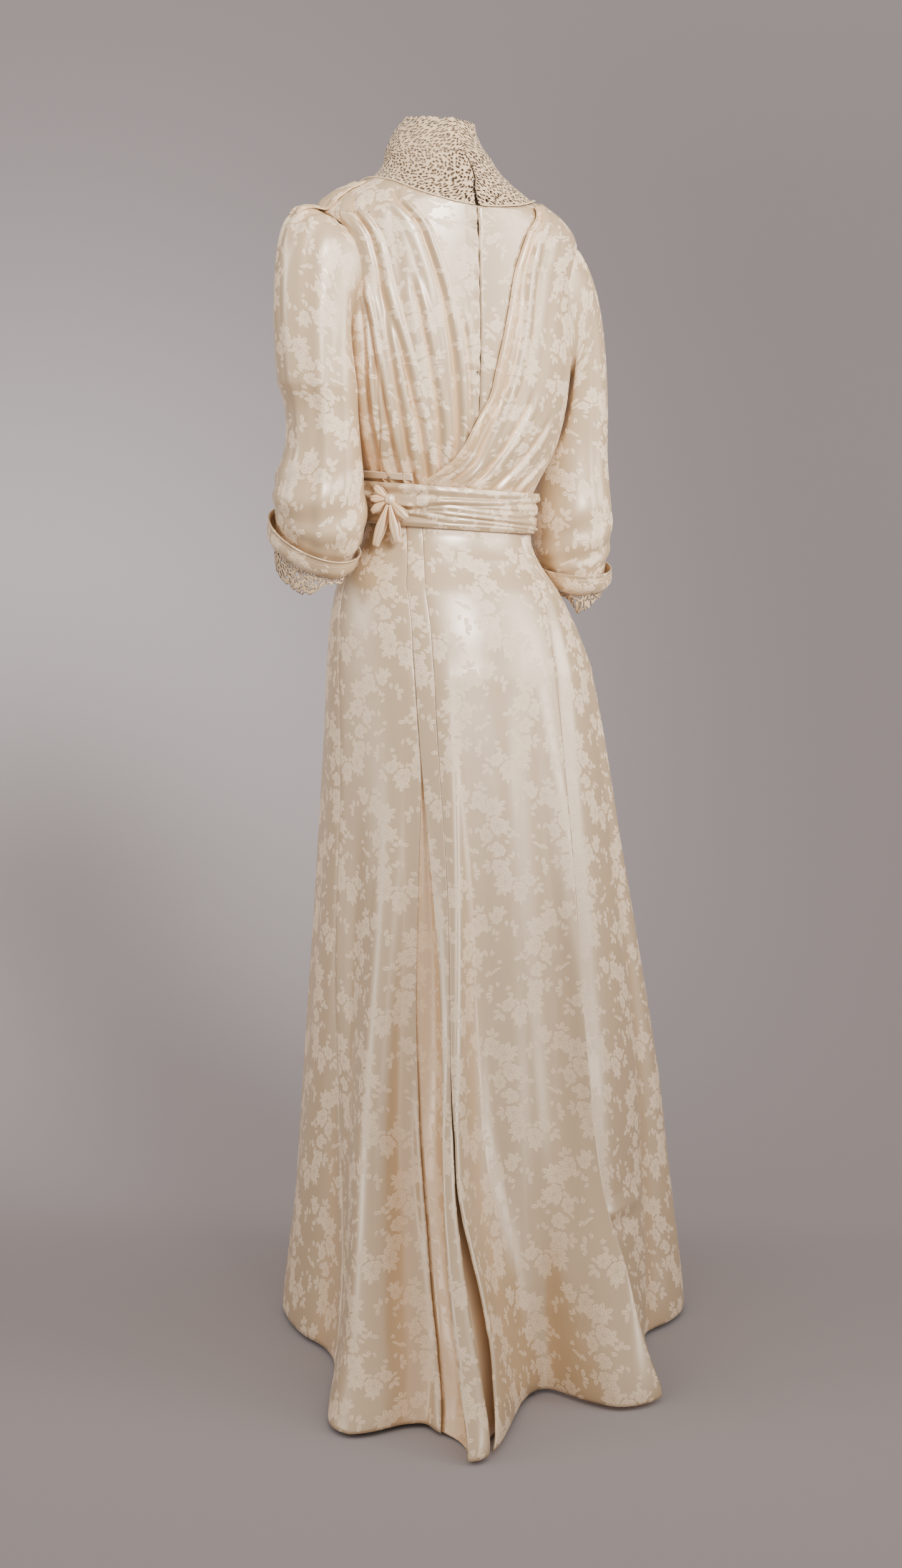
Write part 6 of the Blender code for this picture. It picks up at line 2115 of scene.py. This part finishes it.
def waistband(u, v):
    """The plain band that shows above the sash, left of the surplice."""
    angle = WAISTBAND_START + (WAISTBAND_END - WAISTBAND_START) * u
    height = WAISTBAND_FOOT + WAISTBAND_HIGH * v
    return moved_out(body, WAISTBAND_OUT, BODY_STEPS)(angle, row_at(BODY, height))


def sash_folds(x, y, u, v):
    """Soft folds that run round the waist, draw together at the knot and part again."""
    around = wrapped(u * 360.0)
    pull = hump(around / 40)
    out = np.zeros_like(u)
    for row, (share, deep) in enumerate(((0.16, 0.0012), (0.36, 0.0016), (0.56, 0.0018), (0.76, 0.0018))):
        line = share + 0.09 * np.sin(np.radians(around) * 1.6 + row * 1.3) + (0.5 - share) * pull * 0.6
        out = out + deep * (hump((v - line) / 0.07) - 0.8 * hump((v - line + 0.09) / 0.05))
    return out + 0.0005 * np.sin(np.radians(around) * 31 + v * 5) * v


cloth("sash_cloth", sash, 240, 60, DAMASK_BAND, ["sash"], sash_folds, closed=True,
      thick=SASH_THICK)
cloth("waistband_cloth", waistband, 90, 8, SATIN, ["waistband"], thick=WAISTBAND_THICK)

# %% [markdown]
# ## The bow
#
# A small bow of ribbon has a knot, four loops and two tails. The ribbon could be one strip, but each
# part has its own puff, so each is a short grid that leaves the knot, widens and comes back. The knot
# is a sphere, squared and creased where it is wrapped.

# %% Bow
angle = np.array([KNOT_ANGLE])
height = np.array([KNOT_HEIGHT])
knot_facing = normal(waist_ring, angle, height, SKIRT_STEPS)[0]
knot_heart = waist_ring(angle, height)[0] + knot_facing * KNOT_OUT
knot_across = np.cross((0.0, 0.0, 1.0), knot_facing)
knot_across = knot_across / np.linalg.norm(knot_across)
knot_upward = np.cross(knot_facing, knot_across)


def make_knot():
    """The knot is a little cushion with a crease on each side where the ribbon wraps it."""
    mesh = bmesh.new()
    layer = mesh.loops.layers.uv.new("cloth")
    bmesh.ops.create_uvsphere(mesh, u_segments=32, v_segments=20, radius=1.0, calc_uvs=True)
    for face in mesh.faces:
        for loop in face.loops:
            loop[layer].uv = (loop[layer].uv[0] * 0.03, loop[layer].uv[1] * 0.02)
    for point in mesh.verts:
        square = (abs(point.co.x) ** 3 + abs(point.co.y) ** 3 + abs(point.co.z) ** 3) ** (-1 / 3)
        crease = 1 - 0.10 * math.exp(-(point.co.x / 0.16) ** 2)
        crease = crease - 0.07 * math.exp(-((point.co.x - 0.6) / 0.12) ** 2)
        point.co = point.co * (square ** 0.5) * crease
    placed = Matrix((knot_across * KNOT_SIZE[0], knot_upward * KNOT_SIZE[1], knot_facing * KNOT_SIZE[2]))
    bmesh.ops.transform(mesh, matrix=placed.transposed().to_4x4(), verts=mesh.verts)
    bmesh.ops.translate(mesh, vec=Vector(knot_heart), verts=mesh.verts)
    return dress("bow_knot_cloth", mesh, SATIN, ["bow_knot"], 0, False)


def bow_loop(direction, length, wide):
    """A ribbon that leaves the knot, puffs, turns and comes back under itself."""
    turn = math.radians(direction)
    knot_reach = 1 / math.hypot(math.cos(turn) / KNOT_SIZE[0], math.sin(turn) / KNOT_SIZE[1])
    start = knot_reach + KNOT_GAP - length * (1 - math.cos(2 * math.pi * LOOP_SHORT)) / 2
    along = knot_across * math.cos(turn) + knot_upward * math.sin(turn)
    sideways = np.cross(knot_facing, along)

    def place(u, v):
        share = LOOP_SHORT + (1 - 2 * LOOP_SHORT) * v
        reach = (1 - np.cos(2 * np.pi * share)) / 2
        lift = -np.sin(2 * np.pi * share) * LOOP_DEEP / 2
        width = LOOP_NARROW + (wide - LOOP_NARROW) * ease(reach * 1.6)
        width = width * (1 - 0.30 * ease((reach - 0.6) / 0.4))
        cup = 0.0006 * (1 - (2 * u - 1) ** 2)
        point = knot_heart + along * (start + length * reach)[..., None]
        return point + knot_facing * (lift + cup)[..., None] + sideways * ((u - 0.5) * width)[..., None]
    return place


def ribbon_folds(x, y, u, v):
    """The tie is a folded tube: round along both edges, with a crease down its middle."""
    return 0.0012 * np.sin(np.pi * u) ** 0.5 - 0.0007 * hump((u - 0.45) / 0.16)


def ribbon_painted_shade(x, y, u, v):
    """Painted shade: the crease and the ends at the knot are tinted warm, and the rest of the tie a little.
    """
    at_knot = 0.9 * ease((0.30 - np.minimum(v, 1 - v)) / 0.15)
    return np.maximum(0.35 + 0.4 * hump((u - 0.45) / 0.22), at_knot)


make_knot()
for name, direction, length, wide in BOW:
    cloth(f"{name}_ribbon", bow_loop(direction, length, wide), 16, 60, SATIN, [name], ribbon_folds,
          thick=RIBBON_THICK, painted_light_and_shade=ribbon_painted_shade)

# %% [markdown]
# ## The hooks
#
# Small hooks of steel wire hold the collar's opening and the waistband. Only a hook's back shows, so
# each is a short strand that bows out in its middle.

# %% Hooks
HOOK_COLUMNS = ("name", "angle", "place", "out")
HOOKS = (
    ("collar_hook_upper", 100.5, 11.30, 0.0014),
    ("collar_hook_lower", 97.5, 10.20, 0.0014),
    ("waist_hook", 33.0, 0.55, 0.0064),
)
HOOK_HALF_ANGLE = 1.2
HOOK_BOW = 0.0004
HOOK_SIZE = (0.0015, 0.0010)
describe(HOOK_COLUMNS, hooks=HOOKS)
for name, hook_angle, hook_place, hook_out in HOOKS:
    share = np.linspace(-1, 1, 17)
    turn = hook_angle + HOOK_HALF_ANGLE * share
    level = np.full(len(turn), hook_place)
    facing = normal(body, turn, level, BODY_STEPS)
    bent = hook_out + HOOK_BOW * (1 - share ** 2)
    strand(f"{name}_wire", body(turn, level) + facing * bent[:, None], *HOOK_SIZE, facing, STEEL_WIRE, [name],
           "steel")
